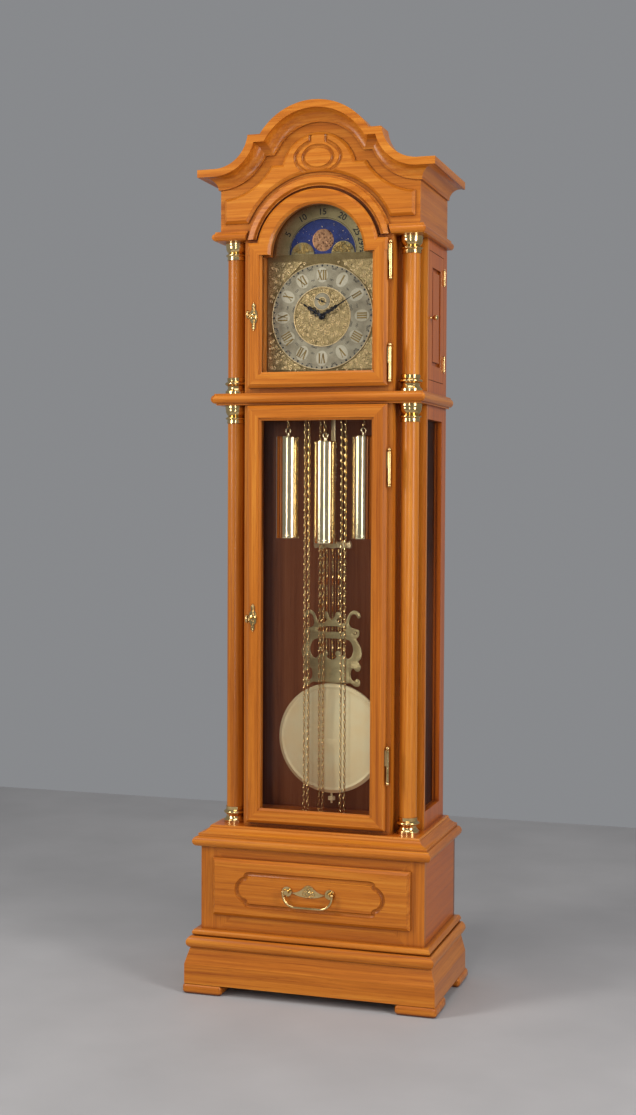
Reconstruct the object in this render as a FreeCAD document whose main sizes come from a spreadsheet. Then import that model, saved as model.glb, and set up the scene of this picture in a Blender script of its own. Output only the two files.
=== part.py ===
"""A longcase clock: a moulded case with a drawer in its base, a glazed trunk and a hood with a moon dial.

X runs to the right, Y to the back, Z up, in millimetres. The origin is under the middle of the case, on
the floor. The case stands on four feet. Everything that moves is a sub-part of its own.
"""
import FreeCAD, Part
import math
import os
import re
import Sketcher

V = FreeCAD.Vector

DIMENSIONS = {
    # Case: planes and thicknesses. A "side" is half a width, a "front" is a Y.
    "back": 178.5,
    "board": 18,
    "back_board": 12,
    "gap": 0.3,
    # Feet
    "foot_side": 320,
    "foot_front": -178.5,
    "foot_width": 102,
    "foot_length": 105,
    "foot_high": 25,
    "foot_round": 9,
    # Plinth
    "plinth_side": 290,
    "plinth_front": -149.5,
    "plinth_out": 25.5,
    "plinth_slope_out": 14,
    "plinth_bend": 73,
    "plinth_top": 112,
    # Base
    "base_side": 282,
    "base_front": -145,
    "base_low_mould": 141,
    "base_mould_top": 157,
    "base_top": 393,
    "trunk_floor": 411,
    "base_cap_side": 258,
    "base_cap_front": -121,
    # Trunk and hood, which share one plan with a square notch in each front corner
    "case_side": 250.5,
    "case_front": -104,
    "notch_side": 187,
    "notch_back": -26,
    "stile_in": 150,
    "side_stile_back": -16.5,
    "window_back": 133.5,
    "window_low": 454,
    "window_high": 1409,
    "hood_rail_top": 1503.5,
    "mid_low": 1443,
    "mid_high": 1471,
    "eave_low": 1842,
    "eave_high": 1864,
    # Columns
    "column_x": 221.5,
    "column_y": -70,
    "column_radius": 21,
    "cap_radius": 27.5,
    # Trunk door and hood door
    "door_side": 176,
    "door_thick": 20.5,
    "door_frame": 37,
    "door_low": 421,
    "door_high": 1441,
    "hood_door_low": 1484,
    "hood_door_shoulder": 1833,
    "arch_z": 1803,
    "door_arch": 153.5,
    "door_arch_in": 117,
    "glass_thick": 3.5,
    "hinge_x": 183,
    "hinge_y": -119,
    "hinge_radius": 4,
    "knuckle": 38,
    "lock_x": 157,
    "trunk_lock_z": 925,
    "hood_lock_z": 1655,
    "key_radius": 3,
    "fit": 0.05,
    # Hood side doors
    "side_door_front": -8.5,
    "side_door_back": 141.5,
    "side_door_low": 1505,
    "side_door_high": 1815,
    # Pediment
    "frieze_top": 2010,
    "crown_out": 45,
    "crown_high": 44,
    "hollow_x": 253,
    "hollow_radius": 87.5,
    "shoulder": 2087,
    "crest_z": 1998,
    "crest_radius": 162,
    "panel_gap": 68,
    "panel_side": 239,
    "panel_low": 1883,
    "panel_arch": 195,
    "panel_thick": 10,
    "panel_slope": 7,
    "mould_arch_in": 161,
    "mould_arch_out": 187,
    # Drawer
    "drawer_side": 249,
    "drawer_low": 195,
    "drawer_high": 336,
    "drawer_thick": 15,
    "drawer_box_side": 222,
    "drawer_box_back": 118,
    "drawer_box_low": 203,
    "drawer_box_high": 318,
    "drawer_board": 12,
    "bail_half": 60,
    "bail_z": 269,
    "bail_low": 234,
    "bail_y": -172,
    "bail_wire": 3,
    # Dial
    "dial_front": -71.5,
    "dial_thick": 2.5,
    "dial_side": 140,
    "dial_low": 1525,
    "dial_arch": 126,
    "dial_z": 1656,
    "seconds_z": 1693,
    "chapter_out": 128,
    "chapter_in": 70.5,
    "moon_z": 1808,
    "moon_radius": 87,
    # Movement
    "plate_side": 108,
    "plate_thick": 2.5,
    "front_plate": -62,
    "back_plate": 12.5,
    "rod_pitch": 7.65,
    "pillar_x": 75,
    "seat_low": 1490,
    "seat_high": 1508,
    "plate_top": 1756,
    "sprocket_z": 1590,
    "swing_z": 1735,
    "swing_y": 25.5,
    # Weights, chains and pendulum
    "weight_x": 97,
    "weight_y": -39.5,
    "weight_radius": 28.5,
    "weight_low": 1118,
    "weight_long": 250,
    "middle_drop": 12,
    "chain_radius": 2,
    "loop_x": 52,
    "loop_low": 444,
    "loop_gap": 10,
    "sprocket_pitch": 22.5,
    "middle_loop_x": -24,
    "middle_loop_y": -5.5,
    "bob_z": 617,
    "bob_radius": 137.5,
    "lyre_low": 755,
    "lyre_high": 934,
    "bridge_low": 1090,
    "bridge_high": 1110,
}

doc = FreeCAD.newDocument("LongcaseClock")
sheet = doc.addObject("Spreadsheet::Sheet", "Dims")
for row, (alias, size) in enumerate(DIMENSIONS.items(), start=1):
    sheet.set(f"A{row}", alias)
    sheet.set(f"B{row}", str(size))
    sheet.setAlias(f"B{row}", alias)
doc.recompute()

nodes = []


# ---- Helpers: sizes are given as formulas of the sheet's aliases ----

def number(formula):
    """The value of a formula now."""
    return float(sheet.evalExpression(str(formula)))


def bind(item, prop, formula):
    """Ties a property to a formula of the sheet."""
    linked = re.sub(r"[a-z][a-z_]*", lambda word: "Dims." + word[0] if word[0] in DIMENSIONS else word[0],
                    str(formula))
    item.setExpression(prop, linked)


def place(item, x, y, z, turn=None):
    """Puts an item at a point given by formulas, turned by a rotation."""
    if turn is not None:
        item.Placement = FreeCAD.Placement(V(0, 0, 0), turn)
    for axis, formula in zip("xyz", (x, y, z)):
        bind(item, f"Placement.Base.{axis}", formula)
    return item


def box(name, x, y, z):
    """A block between two formulas on each axis."""
    block = doc.addObject("Part::Box", name)
    for prop, (low, high) in zip(("Length", "Width", "Height"), (x, y, z)):
        bind(block, prop, f"({high}) - ({low})")
    return place(block, x[0], y[0], z[0])


DIRECTIONS = {"x": V(1, 0, 0), "y": V(0, 1, 0), "z": V(0, 0, 1)}


def rod(name, base, radius, length, along="z"):
    """A round rod that runs from its base point along an axis."""
    bar = doc.addObject("Part::Cylinder", name)
    bind(bar, "Radius", radius)
    bind(bar, "Height", length)
    return place(bar, *base, FreeCAD.Rotation(V(0, 0, 1), DIRECTIONS[along]))


def ball(name, centre, radius):
    """A ball."""
    sphere = doc.addObject("Part::Sphere", name)
    bind(sphere, "Radius", radius)
    return place(sphere, *centre)


def ring(name, centre, radius, wire, turn, sweep=360):
    """A round wire bent to a circle or a part of one."""
    torus = doc.addObject("Part::Torus", name)
    bind(torus, "Radius1", radius)
    bind(torus, "Radius2", wire)
    torus.Angle3 = sweep
    return place(torus, *centre, turn)


def joined(name, *pieces):
    """One solid made of several that overlap or touch."""
    union = doc.addObject("Part::MultiFuse", name)
    union.Shapes = list(pieces)
    return union


def less(name, whole, *tools):
    """A solid with others cut out of it."""
    tool = tools[0] if len(tools) == 1 else joined(name + "_tools", *tools)
    rest = doc.addObject("Part::Cut", name)
    rest.Base = whole
    rest.Tool = tool
    return rest


def shared(name, first, second):
    """What two solids have in common."""
    common = doc.addObject("Part::Common", name)
    common.Base = first
    common.Tool = second
    return common


def mirrored(solid):
    """The same piece on the other side of the clock."""
    twin = doc.addObject("Part::Mirroring", solid.Name + "_left")
    twin.Source = solid
    twin.Normal = V(1, 0, 0)
    return twin


def both(solid):
    """A right-hand piece and its left-hand twin."""
    return [solid, mirrored(solid)]


def node(name, *pieces):
    """Names a finished sub-part. Several pieces stay separate solids in it."""
    item = pieces[0]
    if len(pieces) > 1:
        item = doc.addObject("Part::Compound", name)
        item.Links = list(pieces)
    item.Label = name
    nodes.append(item)
    return item


def sketch_outline(sketch, outline, closed=True):
    """Draws an outline. Each corner is (across, up), or (across, up, radius) where an arc leads to it.

    An arc bulges to the left of the way it is drawn, or to the right if its radius is negative.
    """
    corners = [V(number(corner[0]), number(corner[1]), 0) for corner in outline]
    ends = []
    first = 0 if closed else 1
    for index in range(first, len(outline)):
        start, end = corners[index - 1], corners[index]
        if len(outline[index]) == 3:
            radius = number(outline[index][2])
            chord = end - start
            rise = math.sqrt(max(radius**2 - chord.Length**2 / 4, 0))
            outward = V(-chord.y, chord.x, 0).normalize() * math.copysign(1, radius)
            bulge = (start + end) * 0.5 + outward * (abs(radius) - rise)
            sketch.addGeometry(Part.Arc(start, bulge, end), False)
            begins = sketch.getPoint(len(ends), 1)
            ends.append((1, 2) if (begins - start).Length < 1e-4 else (2, 1))
        else:
            sketch.addGeometry(Part.LineSegment(start, end), False)
            ends.append((1, 2))
    count = len(ends)
    for index in range(count if closed else count - 1):
        after = (index + 1) % count
        sketch.addConstraint(Sketcher.Constraint("Coincident", index, ends[index][1], after, ends[after][0]))
    for index in range(count):
        corner = outline[index + first]
        fix_point(sketch, index, ends[index][1], corner)
        if len(corner) == 3:
            hold_arc(sketch, index, corner, (corners[index + first] - corners[index + first - 1]).Length)
    if not closed:
        fix_point(sketch, 0, ends[0][0], outline[0])
    return sketch


def hold_arc(sketch, geometry, corner, chord):
    """Ties an arc's radius, or a half circle's centre to the level of its ends."""
    if abs(2 * abs(number(corner[2])) - chord) > 0.01:
        spot = sketch.addConstraint(Sketcher.Constraint("Radius", geometry, abs(number(corner[2]))))
        bind(sketch, f"Constraints[{spot}]", f"abs({corner[2]})")
    else:
        spot = sketch.addConstraint(Sketcher.Constraint("DistanceY", -1, 1, geometry, 3, number(corner[1])))
        bind(sketch, f"Constraints[{spot}]", corner[1])


def fix_point(sketch, geometry, end, corner):
    """Ties one point of a sketch to its formulas."""
    for kind, formula in zip(("DistanceX", "DistanceY"), corner):
        spot = sketch.addConstraint(Sketcher.Constraint(kind, -1, 1, geometry, end, number(formula)))
        bind(sketch, f"Constraints[{spot}]", formula)


def new_body(name, plane, outline):
    """A body with an outline drawn on one of its origin planes."""
    body = doc.addObject("PartDesign::Body", name)
    sketch = body.newObject("Sketcher::SketchObject", name + "_outline")
    origin = next(item for item in body.Origin.OriginFeatures if item.Role == plane + "_Plane")
    sketch.AttachmentSupport = (origin, "")
    sketch.MapMode = "FlatFace"
    return body, sketch_outline(sketch, outline)


def slab(name, plane, outline, low, high):
    """An outline given thickness between two formulas across its plane."""
    body, sketch = new_body(name, plane, outline)
    pad = body.newObject("PartDesign::Pad", name + "_pad")
    pad.Profile = sketch
    bind(pad, "Length", f"({high}) - ({low})")
    base = {"XY": ("0", "0", low), "XZ": ("0", high, "0"), "YZ": (low, "0", "0")}[plane]
    return place(body, *base)


def turned(name, outline, centre, along="z"):
    """An outline of (radius, distance along the axis) turned round its axis."""
    body, sketch = new_body(name, "XZ", outline)
    lathe = body.newObject("PartDesign::Revolution", name + "_turning")
    lathe.Profile = sketch
    lathe.ReferenceAxis = (sketch, ["V_Axis"])
    lathe.Angle = 360
    turns = {"z": FreeCAD.Rotation(), "y": FreeCAD.Rotation(V(1, 0, 0), 90),
             "x": FreeCAD.Rotation(V(0, 1, 0), 90)}
    return place(body, *centre, turns[along])


def dressed(body, kind, size, wanted):
    """Fillets or chamfers those edges of a body that a test picks."""
    doc.recompute()
    base = body.Tip
    picked = [f"Edge{index}" for index, edge in enumerate(body.Shape.Edges, start=1) if wanted(edge)]
    finish = body.newObject("PartDesign::" + kind, body.Name + "_" + kind.lower())
    finish.Base = (base, picked)
    bind(finish, "Radius" if kind == "Fillet" else "Size", size)
    return body


def mitred(name, outline, side, front, back="back"):
    """A moulding round the front and sides, cut at the corners: its outline is (distance out, height)."""
    reach = 90
    front_wedge = slab(name + "_front_wedge", "XY", [
        (f"-({side})", front), (side, front),
        (f"{side} + {reach}", f"{front} - {reach}"), (f"-({side}) - {reach}", f"{front} - {reach}")], 0, 2200)
    side_wedge = slab(name + "_side_wedge", "XY", [
        (side, front), (f"{side} + {reach}", f"{front} - {reach}"), (f"{side} + {reach}", back),
        (side, back)], 0, 2200)
    along_front = [(f"{front} - ({corner[0]})", *flipped(corner)) for corner in outline]
    along_side = [(f"{side} + ({corner[0]})", *corner[1:]) for corner in outline]
    front_bar = slab(name + "_front_bar", "YZ", along_front, f"-({side}) - {reach}", f"{side} + {reach}")
    side_bar = slab(name + "_side_bar", "XZ", along_side, f"{front} - {reach}", back)
    return [shared(name + "_front", front_bar, front_wedge),
            *both(shared(name + "_side", side_bar, side_wedge))]


def flipped(corner):
    """The rest of a corner, with its arc turned over for a mirrored outline."""
    if len(corner) == 3:
        return corner[1], f"-({corner[2]})"
    return corner[1:]


# ---- Base ----

def feet():
    """Two front and two rear feet with rounded edges."""
    pads = []
    for end, low, high in (("front", "foot_front", "foot_front + foot_length"),
                           ("rear", "back - foot_length", "back")):
        outline = [("foot_side - foot_width", low), ("foot_side", low), ("foot_side", high),
                   ("foot_side - foot_width", high)]
        pad = slab("foot_" + end, "XY", outline, 0, "foot_high")
        pads += both(dressed(pad, "Fillet", "foot_round", lambda edge: True))
    node("feet", *pads)


def plinth():
    """Plinth boards with a sloping top, and the two mouldings that stand on them."""
    section = [("0", "foot_high"), ("plinth_out", "foot_high"), ("plinth_out", "plinth_bend"),
               ("plinth_slope_out", "plinth_top"), ("0", "plinth_top")]
    rear = box("plinth_rear", ("-plinth_side", "plinth_side"), ("back - board", "back"),
               ("foot_high", "plinth_top"))
    node("plinth_boards", *mitred("plinth", section, "plinth_side", "plinth_front", "back - board"), rear)
    lower = [("0", "plinth_top"), ("20", "plinth_top"), ("20", "base_low_mould", "-15.7"),
             ("0", "base_low_mould")]
    upper = [("0", "base_low_mould"), ("12", "base_low_mould"), ("12", "base_mould_top", "-8.4"),
             ("0", "base_mould_top")]
    node("plinth_mouldings", *mitred("low_bead", lower, "base_side", "base_front"),
         *mitred("high_bead", upper, "base_side", "base_front"))


def base():
    """Base box, its front frame round the drawer, the drawer runners and the board under the trunk."""
    behind = "base_front + board"
    side = box("base_side_board", ("base_side - board", "base_side"), (behind, "back - back_board"),
               ("plinth_top", "base_top"))
    floor = box("base_floor", ("board - base_side", "base_side - board"), (behind, "back - back_board"),
                ("plinth_top", "plinth_top + board"))
    cap = box("base_cap", ("-base_cap_side", "base_cap_side"), ("base_cap_front", "back"),
              ("base_top", "trunk_floor"))
    runner = box("drawer_runner", ("drawer_box_side + 1", "base_side - board"),
                 (behind, "drawer_box_back + 20"),
                 ("drawer_box_low - 20", "drawer_box_low + 24"))
    ledge = box("drawer_ledge", ("drawer_box_side - 22", "drawer_box_side + 1"),
                (behind, "drawer_box_back + 20"),
                ("drawer_box_low - 20", "drawer_box_low - gap"))
    node("base_boards", *both(side), floor, cap, *both(joined("drawer_rail", runner, ledge)))
    rail = ("-base_side", "base_side")
    face = ("base_front", behind)
    low = box("base_low_rail", rail, face, ("plinth_top", "drawer_box_low - 5"))
    high = box("base_high_rail", rail, face, ("drawer_box_high + 8", "base_top"))
    stile = box("base_stile", ("drawer_box_side + 8", "base_side"), face,
                ("drawer_box_low - 5", "drawer_box_high + 8"))
    node("base_front_frame", low, high, *both(stile))
    section = [("24", "base_top - 31"), ("33", "base_top - 31"), ("33", "base_top - 7", "-12.5"),
               ("30", "base_top - 7"),
               ("30", "base_top"), ("8", "trunk_floor - 6", "30"), ("8", "trunk_floor - 3"),
               ("5", "trunk_floor"), ("0", "trunk_floor"), ("0", "base_top"), ("24", "base_top")]
    node("base_top_moulding", *mitred("base_top_mould", section, "base_cap_side", "base_cap_front"))
    low_back = box("back_panel_low", ("-base_side", "base_side"), ("back - back_board", "back"),
                   ("plinth_top", "base_top"))
    high_back = box("back_panel_high", ("board - case_side", "case_side - board"),
                    ("back - back_board", "back"),
                    ("trunk_floor", "frieze_top - 26"))
    node("back_panel", low_back, high_back)


def drawer():
    """Drawer with a raised front, a box behind it, and a hanging bail on two posts."""
    front = "base_front - drawer_thick"
    panel = slab("drawer_front_body", "XZ", [("-drawer_side", "drawer_low"), ("drawer_side", "drawer_low"),
                 ("drawer_side", "drawer_high"), ("-drawer_side", "drawer_high")], front, "base_front - gap")
    face = number(front)
    dressed(panel, "Chamfer", "8", lambda edge: abs(edge.CenterOfMass.y - face) < 0.01)
    node("drawer_front", panel)
    inner = "drawer_box_side - drawer_board"
    ends = ("drawer_box_low", "drawer_box_high")
    depth = ("base_front - gap", "drawer_box_back")
    side = box("drawer_side_board", (inner, "drawer_box_side"), depth, ends)
    across = (f"-({inner})", inner)
    lining = box("drawer_lining", across, ("base_front - gap", "base_front + drawer_board"), ends)
    rear = box("drawer_rear", across, ("drawer_box_back - drawer_board", "drawer_box_back"), ends)
    bottom = box("drawer_bottom", across, ("base_front + drawer_board", "drawer_box_back - drawer_board"),
                 ("drawer_box_low + 4", "drawer_box_low + 10"))
    node("drawer_box", *both(side), lining, rear, bottom)

    plate_outline = [("-42", "bail_z - 2", "40"), ("0", "bail_z - 11", "-70"), ("42", "bail_z - 2", "-70"),
                     ("14", "bail_z + 10", "40"), ("0", "bail_z + 18", "-16"), ("-14", "bail_z + 10", "-16")]
    plate = slab("pull_plate", "XZ", plate_outline, f"{front} - 2", front)
    rose = rod("pull_rose", ("bail_half - 6", f"{front} - 3", "bail_z"), 12, 3, "y")
    post = rod("pull_post", ("bail_half - 8", "bail_y - 6", "bail_z"), 5.5, f"({front} - 3) - (bail_y - 6)",
               "y")
    socket = rod("pull_socket", ("bail_half - 20", "bail_y", "bail_z"), "1.6 + fit", 24, "x")
    posts = less("pull_post_drilled", joined("pull_side", rose, post), socket)
    node("drawer_pull_plate", plate, *both(posts))

    corner = 30
    pin = rod("bail_pin", ("bail_half - 10", "bail_y", "bail_z"), 1.6, 10, "x")
    eye = ball("bail_eye", ("bail_half + 1.5", "bail_y", "bail_z"), 3.9)
    arm = rod("bail_arm", ("bail_half + 1.5", "bail_y", f"bail_low + {corner}"), "bail_wire",
              f"bail_z - bail_low - {corner}")
    bend = ring("bail_bend", (f"bail_half + 1.5 - {corner}", "bail_y", f"bail_low + {corner}"), corner,
                "bail_wire",
                FreeCAD.Rotation(V(1, 0, 0), 90) * FreeCAD.Rotation(V(0, 0, 1), -90), 90)
    grip = rod("bail_grip", (f"-(bail_half + 1.5 - {corner})", "bail_y", "bail_low"), "bail_wire",
               f"2 * (bail_half + 1.5 - {corner})", "x")
    half = joined("bail_half_wire", pin, eye, arm, bend)
    node("drawer_bail", joined("bail_wire_whole", half, mirrored(half), grip))


# ---- Trunk and hood ----

def corner_posts():
    """The notched corners: a front stile, a return and a rear wall, with blocks between and above the columns."""
    height = ("trunk_floor", "eave_low")
    return_wall = ("notch_side - board", "notch_side")
    corner = ("notch_side", "case_side")
    stile = box("front_stile", ("stile_in", "notch_side"), ("case_front", "case_front + board"), height)
    side = box("notch_return", return_wall, ("case_front + board", "side_stile_back"), height)
    rear = box("notch_rear_wall", corner, ("notch_back", "side_stile_back"), height)
    middle = box("mid_corner_block", corner, ("case_front", "notch_back"), ("mid_low", "mid_high"))
    soffit = box("notch_soffit", ("notch_side - board", "case_side - board"),
                 ("case_front + board", "side_stile_back"),
                 ("eave_low", "eave_high"))
    node("corner_posts", *both(stile), *both(side), *both(rear), *both(middle), *both(soffit))


def side_walls():
    """Rear stiles and rails of both sides, round a tall window and a door opening, and the window glass."""
    wall = ("case_side - board", "case_side")
    span = ("side_stile_back", "window_back")
    rear = box("rear_stile", wall, ("window_back", "back"), ("trunk_floor", "eave_low"))
    low = box("side_low_rail", wall, span, ("trunk_floor", "window_low"))
    middle = box("side_middle_rail", wall, span, ("window_high", "hood_rail_top"))
    high = box("side_high_rail", wall, span, ("side_door_high + 1.5", "eave_low"))
    post = box("side_door_post", wall, ("side_stile_back", "side_door_front - 1.5"),
               ("hood_rail_top", "side_door_high + 1.5"))
    notch = box("rear_notch", wall, ("window_back", "side_door_back + 1.5"),
                ("hood_rail_top", "side_door_high + 1.5"))
    rear_cut = less("rear_stile_notched", rear, notch)
    frames = []
    for piece in (rear_cut, low, middle, high, post):
        frames += both(piece)
    node("side_frames", *frames)
    pane = box("side_pane", ("case_side - board + 4", "case_side - board + 4 + glass_thick"), span,
               ("window_low", "window_high"))
    node("side_glass", *both(pane))


def front_rails():
    """Rails between the front stiles: under the trunk door and between the two doors."""
    across = ("-stile_in", "stile_in")
    face = ("case_front", "case_front + board")
    low = box("front_low_rail", across, face, ("trunk_floor", "window_low - 2"))
    middle = box("front_middle_rail", across, face, ("window_high", "dial_low - 15"))
    node("front_rails", low, middle)


def columns():
    """Four turned wooden columns with brass bases and capitals, each standing free in its notched corner."""
    levels = (("trunk", "trunk_floor", "mid_low"), ("hood", "mid_high", "eave_low"))
    low_brass = 40
    high_brass = 43
    shafts = []
    brasses = []
    for name, low, high in levels:
        axis = ("column_x", "column_y", low)
        length = f"({high}) - ({low})"
        shafts += both(rod(name + "_column", ("column_x", "column_y", f"{low} + {low_brass}"),
                           "column_radius",
                           f"{length} - {low_brass} - {high_brass}"))
        foot = [("0", "0"), ("cap_radius", "0"), ("cap_radius", "7"), ("cap_radius - 2", "9", "-2.2"),
                ("cap_radius - 6", "16", "14"), ("cap_radius - 5", "20"), ("cap_radius - 1", "23"),
                ("cap_radius - 1", "29", "-3.4"), ("cap_radius - 5", "32"),
                ("cap_radius - 4", str(low_brass)), ("0", str(low_brass))]
        top = f"{length} - {high_brass}"
        head = [("0", top), ("cap_radius - 4", top), ("cap_radius - 5", f"{top} + 8"),
                ("cap_radius - 2", f"{top} + 10"),
                ("cap_radius - 2", f"{top} + 14", "-2.4"), ("cap_radius - 7", f"{top} + 18"),
                ("cap_radius - 1", f"{top} + 33", "-18"), ("cap_radius", f"{top} + 37"),
                ("cap_radius", length), ("0", length)]
        for part_name, outline in (("base", foot), ("capital", head)):
            brasses += both(turned(f"{name}_{part_name}", outline, axis))
    node("columns", *shafts)
    node("column_brasses", *brasses)


def case_mouldings():
    """The moulding between trunk and hood, and the one at the eaves, which rises over the dial as an arch."""
    middle = [("0", "mid_low"), ("8", "mid_low"), ("8", "mid_low + 4"), ("12", "mid_low + 4"),
              ("12", "mid_high - 3", "-11.5"), ("12", "mid_high"), ("0", "mid_high")]
    node("mid_moulding", *mitred("mid_mould", middle, "case_side", "case_front"))
    eave = [("0", "eave_low"), ("11", "eave_low"), ("11", "eave_high - 4", "-9.5"), ("11", "eave_high"),
            ("0", "eave_high")]
    front, right, left = mitred("eave_mould", eave, "case_side", "case_front")
    arch_span = rod("arch_clearance", ("0", "case_front - 60", "arch_z"), "mould_arch_out", 120, "y")
    halves = []
    for name, x in (("right", ("0", "case_side + 60")), ("left", ("-case_side - 60", "0"))):
        half = box(f"eave_{name}_half", x, ("case_front - 60", "case_front"),
                   ("eave_low - 5", "eave_high + 5"))
        halves.append(less(f"eave_{name}_run", shared(f"eave_{name}_piece", front, half), arch_span))
    section = [("mould_arch_in", "0"), ("mould_arch_out", "0"), ("mould_arch_out", "5"),
               ("mould_arch_out - 4", "5"),
               ("mould_arch_out - 6", "11"), ("mould_arch_in + 7", "13"), ("mould_arch_in + 3", "8"),
               ("mould_arch_in", "8")]
    hoop = turned("arch_hoop", section, ("0", "case_front", "arch_z"), "y")
    above = box("above_eave", ("-200", "200"), ("case_front - 60", "case_front + 1"),
                ("eave_low", "arch_z + 250"))
    node("upper_moulding", *halves, right, left, shared("arch_moulding", hoop, above))


SHOULDER_X = "hollow_x - sqrt(hollow_radius^2 - (frieze_top + hollow_radius - shoulder)^2)"
CREST_X = "sqrt(crest_radius^2 - (shoulder - crest_z)^2)"


def pediment():
    """Frieze boards with an arch over the dial, a raised panel, a roof board and the crown moulding."""
    edge_z = "frieze_top + hollow_radius - sqrt(hollow_radius^2 - (hollow_x - case_side)^2)"
    opening = "mould_arch_in - 3"
    foot_x = f"sqrt(({opening})^2 - (arch_z - eave_low)^2)"
    front = slab("frieze_front", "XZ", [
        ("case_side", "eave_low"), ("case_side", edge_z), (SHOULDER_X, "shoulder", "hollow_radius"),
        (CREST_X, "shoulder"),
        (f"-({CREST_X})", "shoulder", "-crest_radius"), (f"-({SHOULDER_X})", "shoulder"),
        ("-case_side", edge_z, "hollow_radius"), ("-case_side", "eave_low"), (f"-({foot_x})", "eave_low"),
        (foot_x, "eave_low", opening)], "case_front", "case_front + board")
    side = box("frieze_side", ("case_side - board", "case_side"), ("case_front + board", "back"),
               ("eave_low", "frieze_top"))
    roof = box("roof_board", ("board - case_side", "case_side - board"), ("case_front + board", "back"),
               ("frieze_top - 26", "frieze_top - 14"))
    node("frieze_boards", front, *both(side), roof)

    inner_hollow = "hollow_radius + panel_gap"
    inner_crest = "crest_radius - panel_gap"
    step_z = "shoulder - panel_gap"
    low_x = "sqrt(panel_arch^2 - (panel_low - arch_z)^2)"
    top_z = f"frieze_top + hollow_radius - sqrt(({inner_hollow})^2 - (hollow_x - panel_side)^2)"
    step_x = f"hollow_x - sqrt(({inner_hollow})^2 - (frieze_top + hollow_radius - ({step_z}))^2)"
    dome_x = f"sqrt(({inner_crest})^2 - ({step_z} - crest_z)^2)"
    panel = slab("raised_panel", "XZ", [
        (low_x, "panel_low", "panel_arch"), ("panel_side", "panel_low"), ("panel_side", top_z),
        (step_x, step_z, inner_hollow),
        (dome_x, step_z), (f"-({dome_x})", step_z, f"-({inner_crest})"), (f"-({step_x})", step_z),
        ("-panel_side", top_z, inner_hollow), ("-panel_side", "panel_low"), (f"-({low_x})", "panel_low")],
        "case_front - panel_thick", "case_front")
    face = number("case_front - panel_thick")
    node("frieze_panel",
         dressed(panel, "Chamfer", "panel_slope", lambda edge: abs(edge.CenterOfMass.y - face) < 0.01))
    crown_moulding()


def crown_moulding():
    """The crown: a band over a cove that follows the scrolled skyline and returns along both sides."""
    band = [("0", "0"), ("crown_out", "0"), ("crown_out", "18"), ("crown_out - 4", "18"),
            ("5", "crown_high - 5", "28"), ("5", "crown_high"), ("0", "crown_high")]
    as_side = [(corner[0], f"frieze_top - ({corner[1]})",
                *[f"-({radius})" for radius in corner[2:]]) for corner in band]
    straight, right, left = mitred("crown_mould", as_side, "case_side", "case_front")
    start = "case_side + crown_out + 10"
    skyline = doc.addObject("Sketcher::SketchObject", "crown_skyline")
    skyline.Placement = FreeCAD.Placement(V(0, 0, 0), FreeCAD.Rotation(V(1, 0, 0), 90))
    place(skyline, "0", "case_front", "0", FreeCAD.Rotation(V(1, 0, 0), 90))
    sketch_outline(skyline, [
        (f"-({start})", "frieze_top"), ("-hollow_x", "frieze_top"),
        (f"-({SHOULDER_X})", "shoulder", "-hollow_radius"),
        (f"-({CREST_X})", "shoulder"), (CREST_X, "shoulder", "crest_radius"), (SHOULDER_X, "shoulder"),
        ("hollow_x", "frieze_top", "-hollow_radius"), (start, "frieze_top")], closed=False)
    section = doc.addObject("Sketcher::SketchObject", "crown_section")
    upright = FreeCAD.Rotation(V(0, -1, 0), V(0, 0, 1), V(-1, 0, 0), "XYZ")
    place(section, f"-({start})", "case_front", "frieze_top", upright)
    sketch_outline(section,
                   [(corner[0], f"-({corner[1]})",
                     *[f"-({radius})" for radius in corner[2:]]) for corner in band])
    sweep = doc.addObject("Part::Sweep", "crown_sweep")
    doc.recompute()
    sweep.Sections = [section]
    sweep.Spine = (skyline, [f"Edge{index}" for index in range(1, 8)])
    sweep.Solid = True
    sweep.Transition = "Right corner"
    doc.removeObject(straight.Name)
    wedge = doc.getObject("crown_mould_front_wedge")
    node("crown_moulding", shared("crown_front", sweep, wedge), right, left)


# ---- Doors ----

def frame_section(sight, sign, level):
    """Section of a door rail: a rebate for the glass behind, a step at the sight edge and a bevel outside."""
    across = [("5", "0"), ("door_frame", "0"), ("door_frame", "door_thick - 8"),
              ("door_frame - 8", "door_thick"),
              ("6", "door_thick"), ("5", "door_thick - 3"), ("0", "door_thick - 6"), ("0", "8"), ("5", "8")]
    return [(f"{sight} {sign} ({out})", f"{level} - ({high})") for out, high in across]


def mitre_prism(name, corners):
    """The block that one mitred rail of a door fills."""
    return slab(name, "XZ", corners, "case_front - 40", "case_front")


def door_rails(name, low, high, top_rail=True):
    """The mitred rails of a door frame from its bottom up to a level."""
    inner = "door_side - door_frame"
    level = "case_front - gap"
    stile = slab(name + "_stile_bar", "XY", frame_section(inner, "+", level), low, high)
    cut_top = f"{high} - door_frame" if top_rail else high
    stile_block = mitre_prism(name + "_stile_block", [
        (inner, f"{low} + door_frame"), ("door_side", low), ("door_side", high), (inner, cut_top)])
    rails = both(shared(name + "_stile", stile, stile_block))
    ends = [("bottom", low, f"{low} + door_frame", "-")]
    if top_rail:
        ends.append(("top", high, f"{high} - door_frame", "+"))
    for end, outer, sight, sign in ends:
        section = [(depth, up) for up, depth in frame_section(sight, sign, level)]
        bar = slab(f"{name}_{end}_bar", "YZ", section, "-door_side", "door_side")
        block = mitre_prism(f"{name}_{end}_block", [
            (f"-({inner})", sight), ("-door_side", outer), ("door_side", outer), (inner, sight)])
        rails.append(shared(f"{name}_{end}_rail", bar, block))
    return rails


def lock_hole(name, z):
    """The hole in a door's lock stile that the key goes into."""
    return rod(name, ("-lock_x", "case_front - gap - door_thick - 5", z), "key_radius + fit", 20, "y")


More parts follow.
